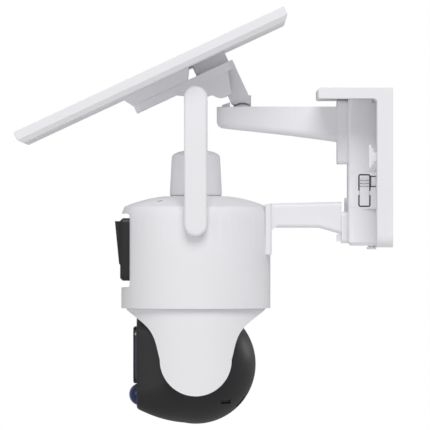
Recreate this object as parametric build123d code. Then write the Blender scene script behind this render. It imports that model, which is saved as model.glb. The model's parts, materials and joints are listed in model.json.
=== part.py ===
from build123d import *
import math
import os

# Solar-powered pan and tilt security camera on its wall bracket, in millimetres.
# The wall is the plane X = 0 and the camera hangs on its -X side. Z is up and Y runs
# across the bracket. The origin is the centre of the wall plate's rear face.

# Wall plate, an L moulding: an upright plate with a flange along its top edge.
PLATE_WIDTH = 140.0
PLATE_HEIGHT = 110.6
PLATE_THICK = 11.0
PLATE_CORNER_R = 8.0
FLANGE_REACH = 51.7
FLANGE_THICK = 7.5
SCREW_HOLE_R = 2.6
SCREW_HEAD_R = 5.2
SCREW_HEAD_DEPTH = 3.0
WALL_HOLE_SPAN_Y = 104.0
WALL_HOLE_SPAN_Z = 64.0
FLANGE_HOLE_SPAN_Y = 104.0
FLANGE_HOLE_X = -34.0

# Column: the housing in front of the wall plate that both arms bolt on to.
COLUMN_FRONT = -30.4
COLUMN_HALF_FRONT = 30.0
COLUMN_HALF_REAR = 25.5
COLUMN_TOP = 47.7
COLUMN_BOTTOM = -54.3
COLUMN_WALL = 2.6

# Latch rocker in the near side of the column. Pressing its ribbed end in frees the hook.
LATCH_FACE_Y = -29.0
LATCH_FRAME = (-23.4, -14.8, -27.3, -4.4)
LATCH_SLOT = 0.95
LATCH_PIVOT_Y = -27.3
LATCH_PIVOT_Z = -17.45
LATCH_BRIDGE = 1.55
LATCH_RIBS = (-8.2, -10.3, -12.4)

# Upper arm, which carries the solar panel in a cup at its tip.
ARM_TIP_X = -122.0
SWIVEL_X = -104.0
ARM_TOP = 42.8
ARM_PAD = (-37.8, 2.7, 47.2)
ARM_HALF_ROOT = 21.0
CUP_R = 14.6
CUP_FLOOR = 29.6
TILT_Z = 37.5
TILT_PIN_R = 2.5
WASHER_Z = 27.0
STEM_R = 4.0

# Solar panel, tilted about a line along Y.
PANEL_TILT = 25.0
PANEL_EDGE = (-262.4, 24.2)
PANEL_LENGTH = 206.0
PANEL_WIDTH = 163.0
PANEL_SIDE = 6.0
PANEL_DEPTH = 9.6
PANEL_CHAMFER = 3.0
PANEL_RIM = 3.0
BRACKET_HOLES = ((91.0, -20.0), (91.0, 20.0), (108.0, -20.0), (108.0, 20.0))

# Camera body, a round housing on a vertical axis.
BODY_X = -136.6
BODY_R = 52.2
BODY_R_TOP = 51.8
BODY_BOTTOM = -98.1
BODY_SHOULDER = -31.5
BODY_RIM = -26.95
BODY_RIM_R = 49.8
BODY_WALL = 2.6
DOME_Z = -19.7
DOME_R = 18.0
RECESS_X = -182.7
RECESS_Z = (-83.7, -31.9)

# Pan yoke under the body and the ball-shaped head that tilts in it.
YOKE_R = 48.6
YOKE_ROOF = -94.8
YOKE_ROOF_TOP = -92.3
YOKE_RING_BOTTOM = -99.0
EAR_INNER = 38.0
EAR_HALF_WIDTHS = ((48.6, -99.0), (43.4, -103.0), (39.0, -106.4), (32.4, -112.7), (28.5, -120.0),
                   (26.7, -126.5), (25.0, -133.5))
EAR_BOTTOM = -158.8
HEAD_Z = -137.2
HEAD_R = 41.9
HEAD_FLAT = 37.0
HEAD_FRONT = -177.9
HEAD_WALL = 2.5
HEAD_SPLIT = -144.9
MOTION_Z = -158.4
MOTION_R = 7.9
HEAD_POST_Z = -165.0
AXLE_R = 5.0
RUNNING = 0.05

# Spur gears of the pan and tilt drives.
GEAR_MODULE = 0.8
PAN_GEAR_TEETH = 50
TILT_GEAR_TEETH = 36
PINION_TEETH = 12
GEAR_BACKLASH = 0.12
HUB_R = 12.0
PAN_GEAR_Z = -87.2
TILT_GEAR_Y = 26.6

# Flat antennas, one on each side of the body.
ANTENNA_PIVOT_Z = -39.5
ANTENNA_TIP = 56.6
ANTENNA_HALF = 8.1
ANTENNA_Y = (53.3, 60.6)


def block(x, y, z):
    """A box from its lowest to its highest X, Y and Z."""
    size = (x[1] - x[0], y[1] - y[0], z[1] - z[0])
    middle = ((x[0] + x[1]) / 2, (y[0] + y[1]) / 2, (z[0] + z[1]) / 2)
    return Pos(*middle) * Box(*size)


def rod(start, direction, radius, length):
    """A round bar from a start point along a direction."""
    return extrude(Plane(origin=start, z_dir=direction) * Circle(radius), length)


def tube(start, direction, outer, inner, length):
    return rod(start, direction, outer, length) - rod(start, direction, inner, length)


def side_slab(points, half_width):
    """An outline drawn in X and Z, as thick as twice the half width across Y."""
    outline = make_face(Plane.XZ * Polyline(*points, close=True))
    return extrude(outline, half_width, both=True)


def turned(points, x, z=0.0):
    """A solid of revolution about the vertical line at x, from (radius, height) points."""
    outline = make_face(Plane.XZ * Polyline(*points, close=True))
    return Pos(x, 0, z) * revolve(outline, Axis.Z)


def mirrored(shape):
    return shape.mirror(Plane.XZ)


def group(shapes):
    """Several separate solids kept in one node."""
    return Compound(children=list(shapes))


def screw(tip, direction, radius, length, head_radius, head_height):
    """A pan-head screw whose shank runs from the head's underside along a direction."""
    towards = Vector(*direction)
    head_start = Vector(*tip) - towards * head_height
    shank = rod(tip, direction, radius, length)
    head = rod(head_start, direction, head_radius, head_height)
    head = chamfer(head.edges().filter_by(GeomType.CIRCLE).sort_by_distance(head_start)[0:1],
                   head_height * 0.3)
    slot = Plane(origin=head_start, z_dir=direction) * Box(head_radius * 1.2, radius * 0.4, head_height)
    return shank + head - slot


def gear(teeth, width, bore, tooth_angle=0.0):
    """An external involute spur gear about Z, with a tooth centred at tooth_angle degrees."""
    pitch_r = GEAR_MODULE * teeth / 2
    base_r = pitch_r * math.cos(math.radians(20))
    outer_r = pitch_r + GEAR_MODULE * 0.95
    root_r = pitch_r - GEAR_MODULE * 1.25
    half_tooth = math.pi / (2 * teeth) - GEAR_BACKLASH / (2 * pitch_r)

    def involute(radius):
        pressure = math.acos(min(1.0, base_r / radius))
        return math.tan(pressure) - pressure

    at_pitch = involute(pitch_r)
    start_r = max(base_r, root_r) * 1.0001
    radii = [start_r + (outer_r - start_r) * step / 3 for step in range(4)]
    flank = [(radius, half_tooth + at_pitch - involute(radius)) for radius in radii]
    root_angle = flank[0][1] + 0.3 * (math.pi / teeth - flank[0][1])
    half = [(root_r, root_angle)] + flank
    outline = []
    for tooth in range(teeth):
        middle = math.radians(tooth_angle) + 2 * math.pi * tooth / teeth
        around = [(r, middle - a) for r, a in half] + [(r, middle + a) for r, a in reversed(half)]
        outline += [(r * math.cos(a), r * math.sin(a)) for r, a in around]
    blank = extrude(make_face(Polyline(*outline, close=True)), width)
    return blank - Cylinder(bore, width * 3)


# ---------------------------------------------------------------- wall bracket

def wall_plate():
    half_w, half_h = PLATE_WIDTH / 2, PLATE_HEIGHT / 2
    plate = block((-PLATE_THICK, 0), (-half_w, half_w), (-half_h, half_h))
    low_corners = plate.edges().filter_by(Axis.X).group_by(Axis.Z)[0]
    plate = fillet(low_corners, PLATE_CORNER_R)
    flange = block((-FLANGE_REACH, 0), (-half_w, half_w), (half_h - FLANGE_THICK, half_h))
    shape = plate + flange
    inner = [e for e in shape.edges().filter_by(Axis.Y)
             if abs(e.center().X + PLATE_THICK) < 0.1 and abs(e.center().Z - half_h + FLANGE_THICK) < 0.1]
    shape = fillet(inner, 2.5)
    tip = [e for e in shape.edges().filter_by(Axis.Y) if abs(e.center().X + FLANGE_REACH) < 0.1]
    shape = fillet(tip, 1.6)
    for y in (-WALL_HOLE_SPAN_Y / 2, WALL_HOLE_SPAN_Y / 2):
        for z in (-WALL_HOLE_SPAN_Z / 2, WALL_HOLE_SPAN_Z / 2):
            shape -= rod((-PLATE_THICK - 1, y, z), (1, 0, 0), SCREW_HOLE_R, PLATE_THICK + 2)
            shape -= rod((-PLATE_THICK - 1, y, z), (1, 0, 0), SCREW_HEAD_R, SCREW_HEAD_DEPTH + 1)
    for y in (-FLANGE_HOLE_SPAN_Y / 2, FLANGE_HOLE_SPAN_Y / 2):
        low = half_h - FLANGE_THICK
        shape -= rod((FLANGE_HOLE_X, y, low - 1), (0, 0, 1), SCREW_HOLE_R, FLANGE_THICK + 2)
        shape -= rod((FLANGE_HOLE_X, y, low - 1), (0, 0, 1), SCREW_HEAD_R, SCREW_HEAD_DEPTH + 1)
    return shape - block((-PLATE_THICK - 1, -PLATE_THICK + 2.4), (-28.6, -23.4), (-13.5, -5.6))


def column_plan(inset, rear_x):
    """The column's plan outline: straight front, sides that curve in towards the wall."""
    front, half, rear = COLUMN_FRONT + inset, COLUMN_HALF_FRONT - inset, COLUMN_HALF_REAR - inset
    near = Plane.XY * Line((front, 0), (front, half))
    bend = Plane.XY * ThreePointArc((front, half), ((front + rear_x) / 2 - 1.5, half - 0.9), (rear_x, rear))
    close_rear = Plane.XY * Line((rear_x, rear), (rear_x, 0))
    half_outline = make_face(near + bend + close_rear + Line((rear_x, 0), (front, 0)))
    return half_outline + mirrored(half_outline)


def bracket_column():
    height = COLUMN_TOP - COLUMN_BOTTOM
    shape = extrude(Pos(0, 0, COLUMN_BOTTOM) * column_plan(0, -PLATE_THICK), height)
    front = [e for e in shape.edges().filter_by(Axis.Z) if e.center().X < COLUMN_FRONT + 0.5]
    shape = fillet(front, 2.5)
    foot = [e for e in shape.edges() if abs(e.center().Z - COLUMN_BOTTOM) < 0.1
            and e.center().X < COLUMN_FRONT + 0.1]
    shape = chamfer(foot, 2.4)
    x_low, x_high, z_low, z_high = LATCH_FRAME
    boss_x, boss_z = (x_low - 1.2, -PLATE_THICK), (z_low - 1.2, z_high + 1.2)
    shape += block(boss_x, (LATCH_FACE_Y, -22.0), boss_z)
    hollow = extrude(Pos(0, 0, COLUMN_BOTTOM + COLUMN_WALL) * column_plan(COLUMN_WALL, -PLATE_THICK),
                     height - 2 * COLUMN_WALL)
    hollow -= block(boss_x, (LATCH_FACE_Y - 1, LATCH_FACE_Y + COLUMN_WALL), boss_z)
    shape -= hollow
    shape -= block((x_low - 0.5, x_high + 0.5), (LATCH_FACE_Y + COLUMN_WALL, -20), boss_z)
    shape -= latch_opening()
    shape -= block((x_high, -PLATE_THICK + 1), (LATCH_FACE_Y - 1, -23.4), (-13.5, -5.6))
    shape -= block((-PLATE_THICK - 2.6, -PLATE_THICK + 1), (-40, 40), (COLUMN_TOP - 2.5, COLUMN_TOP + 1))
    # The latch cover is a shallow step between two seams on the front corner.
    for z in (-3.3, -27.9):
        shape -= block((COLUMN_FRONT - 1, COLUMN_FRONT + 6.9), (-31, -29.4), (z - 0.25, z + 0.25))
    shape -= rod((-13.65, 0, COLUMN_BOTTOM - 1), (0, 0, 1), 1.6, 12)
    for z in (34.0, 12.0, -41.6):
        for y in (-9.0, 9.0):
            shape -= rod((COLUMN_FRONT - 1, y, z), (1, 0, 0), 1.5, 12)
    return shape


def latch_plate(grow, thickness, proud=0.0):
    """A rounded plate on the latch's face: the rocker's own outline, or a larger one."""
    x_low, x_high, z_low, z_high = LATCH_FRAME
    place = Plane(origin=((x_low + x_high) / 2, LATCH_FACE_Y - proud, (z_low + z_high) / 2),
                  x_dir=(1, 0, 0), z_dir=(0, -1, 0))
    width = x_high - x_low - 2 * (LATCH_SLOT - grow)
    height = z_high - z_low - 2 * (LATCH_SLOT - grow)
    return extrude(place * RectangleRounded(width, height, 0.6 + grow), -(thickness + proud))


def latch_opening():
    """The slot round the rocker, bridged on both sides of its pivot, and the pivot's bores."""
    x_low, x_high, _, _ = LATCH_FRAME
    bridge = block((x_low - 1, x_high + 1), (LATCH_FACE_Y - 1, -20),
                   (LATCH_PIVOT_Z - LATCH_BRIDGE, LATCH_PIVOT_Z + LATCH_BRIDGE))
    slot = latch_plate(LATCH_SLOT, 5.0, 1.0) - bridge
    middle = latch_plate(0.2, 5.0, 1.0)
    return slot + middle + rod((x_low - 0.8, LATCH_PIVOT_Y, LATCH_PIVOT_Z), (1, 0, 0), 1.2 + RUNNING, 10.2)


def latch_rocker():
    x_low, x_high, _, _ = LATCH_FRAME
    shape = latch_plate(0, 2.4)
    shape += rod((x_low - 0.5, LATCH_PIVOT_Y, LATCH_PIVOT_Z), (1, 0, 0), 1.2, 9.6)
    shape += block((-18.0, -PLATE_THICK + 2.0), (-26.7, -25.0), (-12.6, -6.5))
    shape += block((x_high + 0.3, -PLATE_THICK + 2.0), (-28.2, -25.0), (-12.8, -6.3))
    for z in LATCH_RIBS:
        rib_y = (LATCH_FACE_Y - 0.5, LATCH_FACE_Y + 0.4)
        shape += block((x_low + 2.0, x_high - 2.0), rib_y, (z - 0.45, z + 0.45))
    return shape


def latch_spring():
    """The leaf spring behind the rocker's lower end, clipped to the column's wall."""
    leaf = block((-21.4, -16.8), (-25.2, -24.7), (-28.4, -19.4))
    foot = block((-21.4, -16.8), (-26.4, -24.7), (-28.4, -27.5))
    return leaf + foot


def cable_cleat():
    """A T-shaped hook on the plate's inner face that a cable is wound over."""
    head = block((-16.4, -14.9), (-63, -57), (-0.5, 15.8))
    neck = block((-14.9, -13.3), (-62, -58), (1.9, 13.4))
    stem = block((-13.3, -PLATE_THICK), (-62, -58), (4.35, 10.5))
    head = fillet(head.edges().filter_by(Axis.X), 1.2)
    return head + neck + stem


def upper_arm():
    tip_r = SWIVEL_X - ARM_TIP_X
    root_x, low, high = ARM_PAD

    def plan(inset):
        points = [(SWIVEL_X, tip_r - inset), (root_x + 14, ARM_HALF_ROOT - 2 - inset),
                  (root_x + 0.01, ARM_HALF_ROOT + 1 - inset), (root_x + 0.01, -ARM_HALF_ROOT - 1 + inset),
                  (root_x + 14, -ARM_HALF_ROOT + 2 + inset), (SWIVEL_X, -tip_r + inset)]
        return make_face(Polyline(*points, close=True)) + Pos(SWIVEL_X, 0) * Circle(tip_r - inset)

    def side(inset):
        under = Plane.XZ * Spline((ARM_TIP_X - 1, 28.3 + inset), (-101.6, 26.1 + inset),
                                  (-64.5, 21.9 + inset), (root_x + 0.01, 18.2 + inset))
        up = Plane.XZ * Polyline((root_x + 0.01, 18.2 + inset), (root_x + 0.01, ARM_TOP - inset),
                                 (ARM_TIP_X - 1, ARM_TOP - inset), (ARM_TIP_X - 1, 28.3 + inset))
        return extrude(make_face(under + up), 40, both=True)

    arm = extrude(plan(0), 60) & side(0)
    rounded = [e for e in arm.edges() if abs(e.center().X - root_x) > 1 and e.length > 20
               and e.center().Z < 40 and abs(e.center().Y) > 5]
    try:
        arm = fillet(rounded, 5.0)
    except ValueError:
        arm = chamfer(rounded, 3.0)
    duct = (extrude(plan(3.0), 60) & side(3.0)) - block((-140, SWIVEL_X + CUP_R + 3), (-40, 40), (0, 60))
    pad = block((root_x, COLUMN_FRONT), (-ARM_HALF_ROOT - 3, ARM_HALF_ROOT + 3), (low, high))
    pad = fillet(pad.edges().filter_by(Axis.X), 3.0)
    shape = arm - duct + pad
    shape -= rod((SWIVEL_X, 0, CUP_FLOOR), (0, 0, 1), CUP_R, 30)
    shape -= rod((SWIVEL_X, 0, 0), (0, 0, 1), STEM_R + RUNNING, CUP_FLOOR + 1)
    shape -= rod((SWIVEL_X, 0, 0), (0, 0, 1), 7.0, WASHER_Z + 1.4)
    for z in (34.0, 12.0):
        for y in (-9.0, 9.0):
            shape -= rod((root_x - 8, y, z), (1, 0, 0), 1.5, 17)
    return shape


def lower_arm():
    outline = [(-94, -25.2), (-34.7, -23.7), (-34.7, -46.4), (-50.5, -41.8), (-81.6, -41.8),
               (-83.6, -43.8), (-94, -43.8)]
    beam = side_slab(outline, 15.0)
    long_edges = [e for e in beam.edges() if e.length > 14 and abs(abs(e.center().Y) - 15) < 0.1
                  and e.center().X > -80 and e.center().X < -35]
    beam = fillet(long_edges, 3.0)
    saddle = block((-96, -83.6), (-19, 19), (-60.5, -25.2))
    saddle = fillet(saddle.edges().filter_by(Axis.Z).group_by(Axis.X)[-1], 2.5)
    shape = beam + saddle
    shape -= rod((BODY_X, 0, -100), (0, 0, 1), BODY_R, 80)
    shape -= block((-90, -36), (-12, 12), (-38.8, -28.2)) - block((-140, -80.9), (-40, 40), (-100, 0))
    for z in (-50.0, -56.0):
        shape -= rod((-100, 0, z), (1, 0, 0), 1.5, 30)
    return shape


def arm_socket():
    """The clamp plate between the lower arm and the column, with its tongue and hook."""
    plate = block((-34.7, COLUMN_FRONT), (-19, 19), (-52.6, -30.6))
    plate = fillet(plate.edges().filter_by(Axis.X), 3.0)
    hook = block((-37.8, -34.7), (-12, 12), (-51.3, -46.6))
    tongue = block((-32.5, COLUMN_FRONT), (-8, 8), (-31, -21))
    shape = plate + hook + tongue
    for y in (-9.0, 9.0):
        shape -= rod((-40, y, -41.6), (1, 0, 0), 1.5, 20)
    return shape


def arm_screws():
    """Screws through the column's front wall into both arms, and the saddle's two screws."""
    shapes = []
    for z in (34.0, 12.0):
        for y in (-9.0, 9.0):
            shapes.append(screw((COLUMN_FRONT + COLUMN_WALL, y, z), (-1, 0, 0), 1.5, 9.0, 3.0, 1.8))
    for y in (-9.0, 9.0):
        shapes.append(screw((COLUMN_FRONT + COLUMN_WALL, y, -41.6), (-1, 0, 0), 1.5, 6.5, 3.0, 1.8))
    return group(shapes)


def column_lock_screw():
    """The captive screw under the column, with its head just below the wall plate."""
    low = -PLATE_HEIGHT / 2 - 1.6
    shank = rod((-13.65, 0, low), (0, 0, 1), 1.6, 11.0)
    collar = rod((-13.65, 0, low), (0, 0, 1), 2.3, COLUMN_BOTTOM - low)
    head = rod((-13.65, 0, low), (0, 0, 1), 3.45, 1.5)
    head = chamfer(head.edges().group_by(Axis.Z)[0], 0.4)
    cross = Pos(-13.65, 0, low) * (Box(4.2, 0.9, 1.6) + Box(0.9, 4.2, 1.6))
    return shank + collar + head - cross


# ---------------------------------------------------------------- camera body

def body_shell():
    """The round skirt of the body, open at the top, with a flat recess for the fixed lens."""
    outside = turned([(0, BODY_BOTTOM), (BODY_R, BODY_BOTTOM), (BODY_R, -60), (BODY_R_TOP, BODY_SHOULDER),
                      (BODY_RIM_R, BODY_RIM), (0, BODY_RIM)], BODY_X)
    low, high = RECESS_Z
    outside -= block((BODY_X - 60, RECESS_X), (-60, 60), (low, high))
    corners = [e for e in outside.edges().filter_by(Axis.Y) if abs(e.center().X - RECESS_X) < 0.1]
    outside = fillet(corners, 2.4)
    inside = turned([(0, BODY_BOTTOM - 1), (BODY_R - BODY_WALL, BODY_BOTTOM - 1), (BODY_R - BODY_WALL, -60),
                     (BODY_R_TOP - BODY_WALL, BODY_SHOULDER - 1), (BODY_RIM_R - BODY_WALL, BODY_RIM - 1.6),
                     (BODY_RIM_R - BODY_WALL, BODY_RIM + 1), (0, BODY_RIM + 1)], BODY_X)
    inside -= block((BODY_X - 60, RECESS_X + BODY_WALL), (-60, 60), (low - BODY_WALL, high + BODY_WALL))
    shape = outside - inside
    shape -= rod((RECESS_X - 2, 0, -52.0), (1, 0, 0), 9.0, 8)
    for y in (-14.0, 14.0):
        for z in (-44.0, -70.0):
            shape += rod((RECESS_X + BODY_WALL - 0.2, y, z), (1, 0, 0), 2.4, 2.0)
    for x, y in body_posts():
        boss = rod((x, y, -77.1), (0, 0, 1), 3.6, 11.0) - rod((x, y, -78), (0, 0, 1), 1.2, 9.0)
        shape += boss
    for side in (-1, 1):
        shape -= rod((BODY_X, side * (BODY_R + 2), ANTENNA_PIVOT_Z), (0, -side, 0), 3.0, 8)
    for z in (-50.0, -56.0):
        shape -= rod((-92, 0, z), (1, 0, 0), 1.5, 12)
    return shape


def dome_height(radius):
    """Height of the shallow crowned cover at a radius from the body's axis."""
    along = (radius - DOME_R) / (BODY_RIM_R - DOME_R)
    return BODY_RIM + (DOME_Z - BODY_RIM) * (1 - along ** 1.8)


def body_top_cover():
    steps = 7
    radii = [BODY_RIM_R - (BODY_RIM_R - DOME_R) * step / steps for step in range(1, steps + 1)]
    slope = [(radius, dome_height(radius)) for radius in radii]
    under = [(radius - 0.6, height - BODY_WALL) for radius, height in reversed(slope)]
    lip_r = BODY_RIM_R - BODY_WALL - 0.15
    outline = [(BODY_RIM_R, BODY_RIM)] + slope + [(7.0, DOME_Z), (7.0, DOME_Z - BODY_WALL)] + under
    outline += [(lip_r, BODY_RIM - 5), (lip_r, BODY_RIM)]
    behind_recess = block((BODY_X - 60, RECESS_X + BODY_WALL + 0.3), (-60, 60),
                          (BODY_RIM - 8, BODY_RIM - 2.0))
    return turned(outline, BODY_X) - dome_slot() - behind_recess


def dome_slot():
    """A short sound slot through the dome, in front of the neck."""
    return block((-163.4, -159.8), (-0.6, 0.6), (DOME_Z - 8, DOME_Z + 2))


def neck_cap():
    """The round cap on the dome: a tapered cup with a shallow crown."""
    outside = [(18.2, -18.9), (18.2, -16.8), (16.9, 7.7), (15.8, 9.5), (12.5, 11.2), (8.5, 12.1), (4.0, 12.6),
               (0, 12.7)]
    inside = [(0, 10.2), (8.5, 9.6), (13.6, 7.2), (14.4, 5.0), (15.6, -18.9)]
    return turned(outside + inside, BODY_X)


def neck_cap_seal():
    return tube((BODY_X, 0, DOME_Z), (0, 0, 1), 17.8, 14.6, 0.8)


def antenna_pivots():
    shapes = []
    for side in (-1, 1):
        start = (BODY_X, side * (BODY_R - BODY_WALL - 2.4), ANTENNA_PIVOT_Z)
        pin = rod(start, (0, side, 0), 3.0, ANTENNA_Y[1] - 1.6 - (BODY_R - BODY_WALL - 2.4))
        collar = rod(start, (0, side, 0), 5.5, 1.6)
        shapes.append(pin + collar)
    return group(shapes)


def antenna(side):
    """A flat round-ended paddle, upright at rest, that turns on its pivot pin."""
    near, far = ANTENNA_Y
    tip_z = ANTENNA_TIP - ANTENNA_HALF
    height = tip_z - ANTENNA_PIVOT_Z
    place = Plane(origin=(BODY_X, -near, (tip_z + ANTENNA_PIVOT_Z) / 2), x_dir=(0, 0, 1), z_dir=(0, -1, 0))
    paddle = extrude(place * SlotCenterToCenter(height, 2 * ANTENNA_HALF), far - near)
    outer = [e for e in paddle.edges() if abs(e.center().Y + far) < 0.01]
    paddle = fillet(outer, 2.4)
    inner = [e for e in paddle.edges() if abs(e.center().Y + near) < 0.01]
    paddle = chamfer(inner, 0.6)
    paddle -= rod((BODY_X, -near + 1, ANTENNA_PIVOT_Z), (0, -1, 0), 3.0 + RUNNING, far - near - 1.2 + 1)
    return paddle if side < 0 else mirrored(paddle)


# ---------------------------------------------------------------- fixed lens module

def fixed_lens_housing():
    front = -189.4
    shape = block((front, RECESS_X), (-22.5, 22.5), (-78.8, -35.1))
    shape = fillet(shape.edges().filter_by(Axis.X), 3.0)
    edges = [e for e in shape.edges() if abs(e.center().X - front) < 0.1]
    shape = chamfer(edges, 1.8)
    hood = side_slab([(front + 0.5, -37.2), (-193.1, -37.2), (-190.2, -66.9), (front + 0.5, -68.4)], 19.0)
    shape += hood
    shape -= block((front + 2.2, RECESS_X), (-19.5, 19.5), (-75.8, -38.1))
    shape -= fixed_window_slab(0)
    shape -= rod((-198, 0, -52.0), (1, 0, 0), 8.2, 14)
    return shape


def fixed_window_slab(shrink):
    """The tilted clear window let into the hood's sloped face."""
    top, bottom = (-193.1, -37.2), (-190.2, -66.9)
    angle = math.degrees(math.atan2(top[0] - bottom[0], top[1] - bottom[1]))
    middle = ((top[0] + bottom[0]) / 2, (top[1] + bottom[1]) / 2)
    slab = Box(0.9, 33.0 - shrink, 25.0 - shrink)
    return Pos(middle[0] + 0.45, 0, middle[1]) * Rot(0, angle, 0) * slab


def fixed_lens_barrel():
    shape = rod((-189.7, 0, -52.0), (1, 0, 0), 7.8, 11.4)
    shape -= rod((-191, 0, -52.0), (1, 0, 0), 5.2, 2.5)
    return shape + rod((-188.9, 0, -52.0), (1, 0, 0), 4.6, 0.8)


def fixed_lens_board():
    return block((-178.3, -176.7), (-17.5, 17.5), (-74, -40))


# ---------------------------------------------------------------- inside the body

def base_plate():
    """The floor of the body, which carries the pan bearing, the motor and the boards."""
    plate = rod((BODY_X, 0, -91.7), (0, 0, 1), BODY_R - BODY_WALL, 2.6)
    plate -= rod((BODY_X, 0, -92), (0, 0, 1), 17.0, 4)
    plate -= rod(pan_motor_axis(-92), (0, 0, 1), 6.6, 4)
    for x, y in body_posts():
        plate += rod((x, y, -89.3), (0, 0, 1), 3.2, 12.2)
        plate -= rod((x, y, -92), (0, 0, 1), 1.2, 16)
    x, y, z = pan_motor_axis(-89.3)
    for side in (-12.6, 12.6):
        plate += rod((x, side, z), (0, 0, 1), 2.3, 10.3)
    return plate


def body_posts():
    """Plan positions of the four posts that screws hold the base plate by."""
    angles = [math.radians(angle) for angle in (60, 120, 240, 300)]
    return [(BODY_X + 46.2 * math.cos(angle), 46.2 * math.sin(angle)) for angle in angles]


def pan_motor_axis(z):
    reach = GEAR_MODULE * (PAN_GEAR_TEETH + PINION_TEETH) / 2
    return (BODY_X + reach, 0, z)


def pan_bearing():
    shape = tube((BODY_X, 0, -91.7), (0, 0, 1), 17.0, HUB_R + RUNNING, 3.4)
    flange_z = -89.1
    return shape + tube((BODY_X, 0, flange_z), (0, 0, 1), 19.0, HUB_R + RUNNING, PAN_GEAR_Z - 0.1 - flange_z)


def pan_motor():
    x, y, z = pan_motor_axis(-79.0)
    can = rod((x, y, z), (0, 0, 1), 10.0, 16)
    ears = block((x - 3, x + 3), (-15, 15), (z, z + 1.0))
    shaft = rod((x, y, z - 9.0), (0, 0, 1), 1.5, 9.5)
    return can + ears + shaft


def pan_pinion():
    return Pos(*pan_motor_axis(PAN_GEAR_Z)) * gear(PINION_TEETH, 6.0, 1.5 + RUNNING, 180.0 / PINION_TEETH)


def pan_gear():
    return Pos(BODY_X, 0, PAN_GEAR_Z) * gear(PAN_GEAR_TEETH, 5.0, HUB_R)


def body_board():
    board = rod((BODY_X, 0, -52), (0, 0, 1), 38.0, 1.6)
    chips = [((-12, 2), (-20, -6), 1.5), ((-12, -2), (4, 14), 1.2), ((8, 26), (-12, 4), 2.8)]
    for (low_x, high_x), y, height in chips:
        board += block((BODY_X + low_x, BODY_X + high_x), y, (-50.6, -50.4 + height))
    for angle in (60, 180, 300):
        x = BODY_X + 16 + 12.4 * math.cos(math.radians(angle))
        y = 12.4 * math.sin(math.radians(angle))
        board += rod((x, y, -50.6), (0, 0, 1), 1.4, 6.6)
    return board


def battery_holder():
    """An open tray on two legs. Its end walls carry the main board above the cells."""
    tray = block((BODY_X - 35, BODY_X + 12), (-34, 34), (-76.6, -75.0))
    for low, high in ((-34.0, -32.7), (32.7, 34.0)):
        tray += block((BODY_X - 30, BODY_X + 10), (low, high), (-76.6, -52.0))
    tray += block((BODY_X - 15.8, BODY_X - 14.2), (-32, 32), (-75.2, -70.0))
    for x, y in ((-34.0, -20.0), (-34.0, 20.0), (6.0, -26.0), (6.0, 26.0)):
        tray += rod((BODY_X + x, y, -89.1), (0, 0, 1), 2.6, 12.6)
    return tray


def battery_cells():
    """Two 18650 cells side by side, each 18 mm across and 65 mm long, on the holder."""
    shapes = []
    for x in (-26.0, -4.0):
        cell = rod((BODY_X + x, -32.5, -65.9), (0, 1, 0), 9.1, 64.0)
        cap = rod((BODY_X + x, 31.5, -65.9), (0, 1, 0), 2.8, 1.2)
        shapes.append(cell + cap)
    return group(shapes)


def speaker():
    frame = rod((BODY_X + 16, 0, -44.0), (0, 0, 1), 14.0, 4.0)
    magnet = rod((BODY_X + 16, 0, -46.5), (0, 0, 1), 8.0, 2.5)
    hang = (Align.CENTER, Align.CENTER, Align.MAX)
    cone_cut = Pos(BODY_X + 16, 0, -40.0) * Cone(4.0, 12.0, 3.0, align=hang)
    return frame + magnet - cone_cut


def body_screws():
    """Screws up through the base plate's four posts, and two from inside into the saddle."""
    shapes = [rod((x, y, -91.7), (0, 0, 1), 1.2, 22.0) for x, y in body_posts()]
    for z in (-50.0, -56.0):
        shapes.append(rod((-88.6, 0, z), (1, 0, 0), 1.5, 4.0) + rod((-88.6, 0, z), (-1, 0, 0), 2.8, 1.2))
    return group(shapes)


# ---------------------------------------------------------------- pan yoke

def ear_outline():
    """The bell-shaped side outline of both ears, as one face in X and Z."""
    right = [(BODY_X + half, z) for half, z in EAR_HALF_WIDTHS]
    left = [(BODY_X - half, z) for half, z in EAR_HALF_WIDTHS]
    bottom = Plane.XZ * ThreePointArc(right[-1], (BODY_X, EAR_BOTTOM), left[-1])
    sides = Plane.XZ * Spline(*right) + Plane.XZ * Spline(*left)
    return make_face(sides + bottom + Plane.XZ * Line(left[0], right[0]))


def pan_yoke():
    """A turning roof under the body with two ears that hold the head between them."""
    roof = rod((BODY_X, 0, YOKE_ROOF), (0, 0, 1), YOKE_R, YOKE_ROOF_TOP - YOKE_ROOF)
    ring_height = YOKE_ROOF_TOP - YOKE_RING_BOTTOM
    ring = tube((BODY_X, 0, YOKE_RING_BOTTOM), (0, 0, 1), YOKE_R, YOKE_R - 2.4, ring_height)
    drum = rod((BODY_X, 0, EAR_BOTTOM - 2), (0, 0, 1), YOKE_R, YOKE_RING_BOTTOM - EAR_BOTTOM + 2)
    ears = extrude(ear_outline(), 60, both=True) & drum
    bore = rod((BODY_X, 0, EAR_BOTTOM - 2), (0, 0, 1), YOKE_R - 2.4, YOKE_ROOF - EAR_BOTTOM + 2)
    ears -= bore & block((-300, 0), (-EAR_INNER, EAR_INNER), (-200, YOKE_ROOF))
    shape = roof + ring + ears
    for side in (-1, 1):
        hollow = extrude(Pos(BODY_X, 0, HEAD_Z) * Rot(90, 0, 0) * Circle(17.0), 60, both=True)
        pocket = hollow & block((-300, 0), sorted((side * (EAR_INNER + 2.6), side * 60)), (-200, YOKE_ROOF))
        inner_drum = rod((BODY_X, 0, EAR_BOTTOM), (0, 0, 1), YOKE_R - 2.6, 80)
        shape -= pocket & inner_drum
        shape -= rod((BODY_X, side * (EAR_INNER - 1), HEAD_Z), (0, side, 0), AXLE_R, 3.6)
    shape += rod((BODY_X, 0, YOKE_ROOF_TOP), (0, 0, 1), HUB_R, 12.6)
    return shape - rod((BODY_X, 0, YOKE_ROOF - 1), (0, 0, 1), 7.0, 18)


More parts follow.
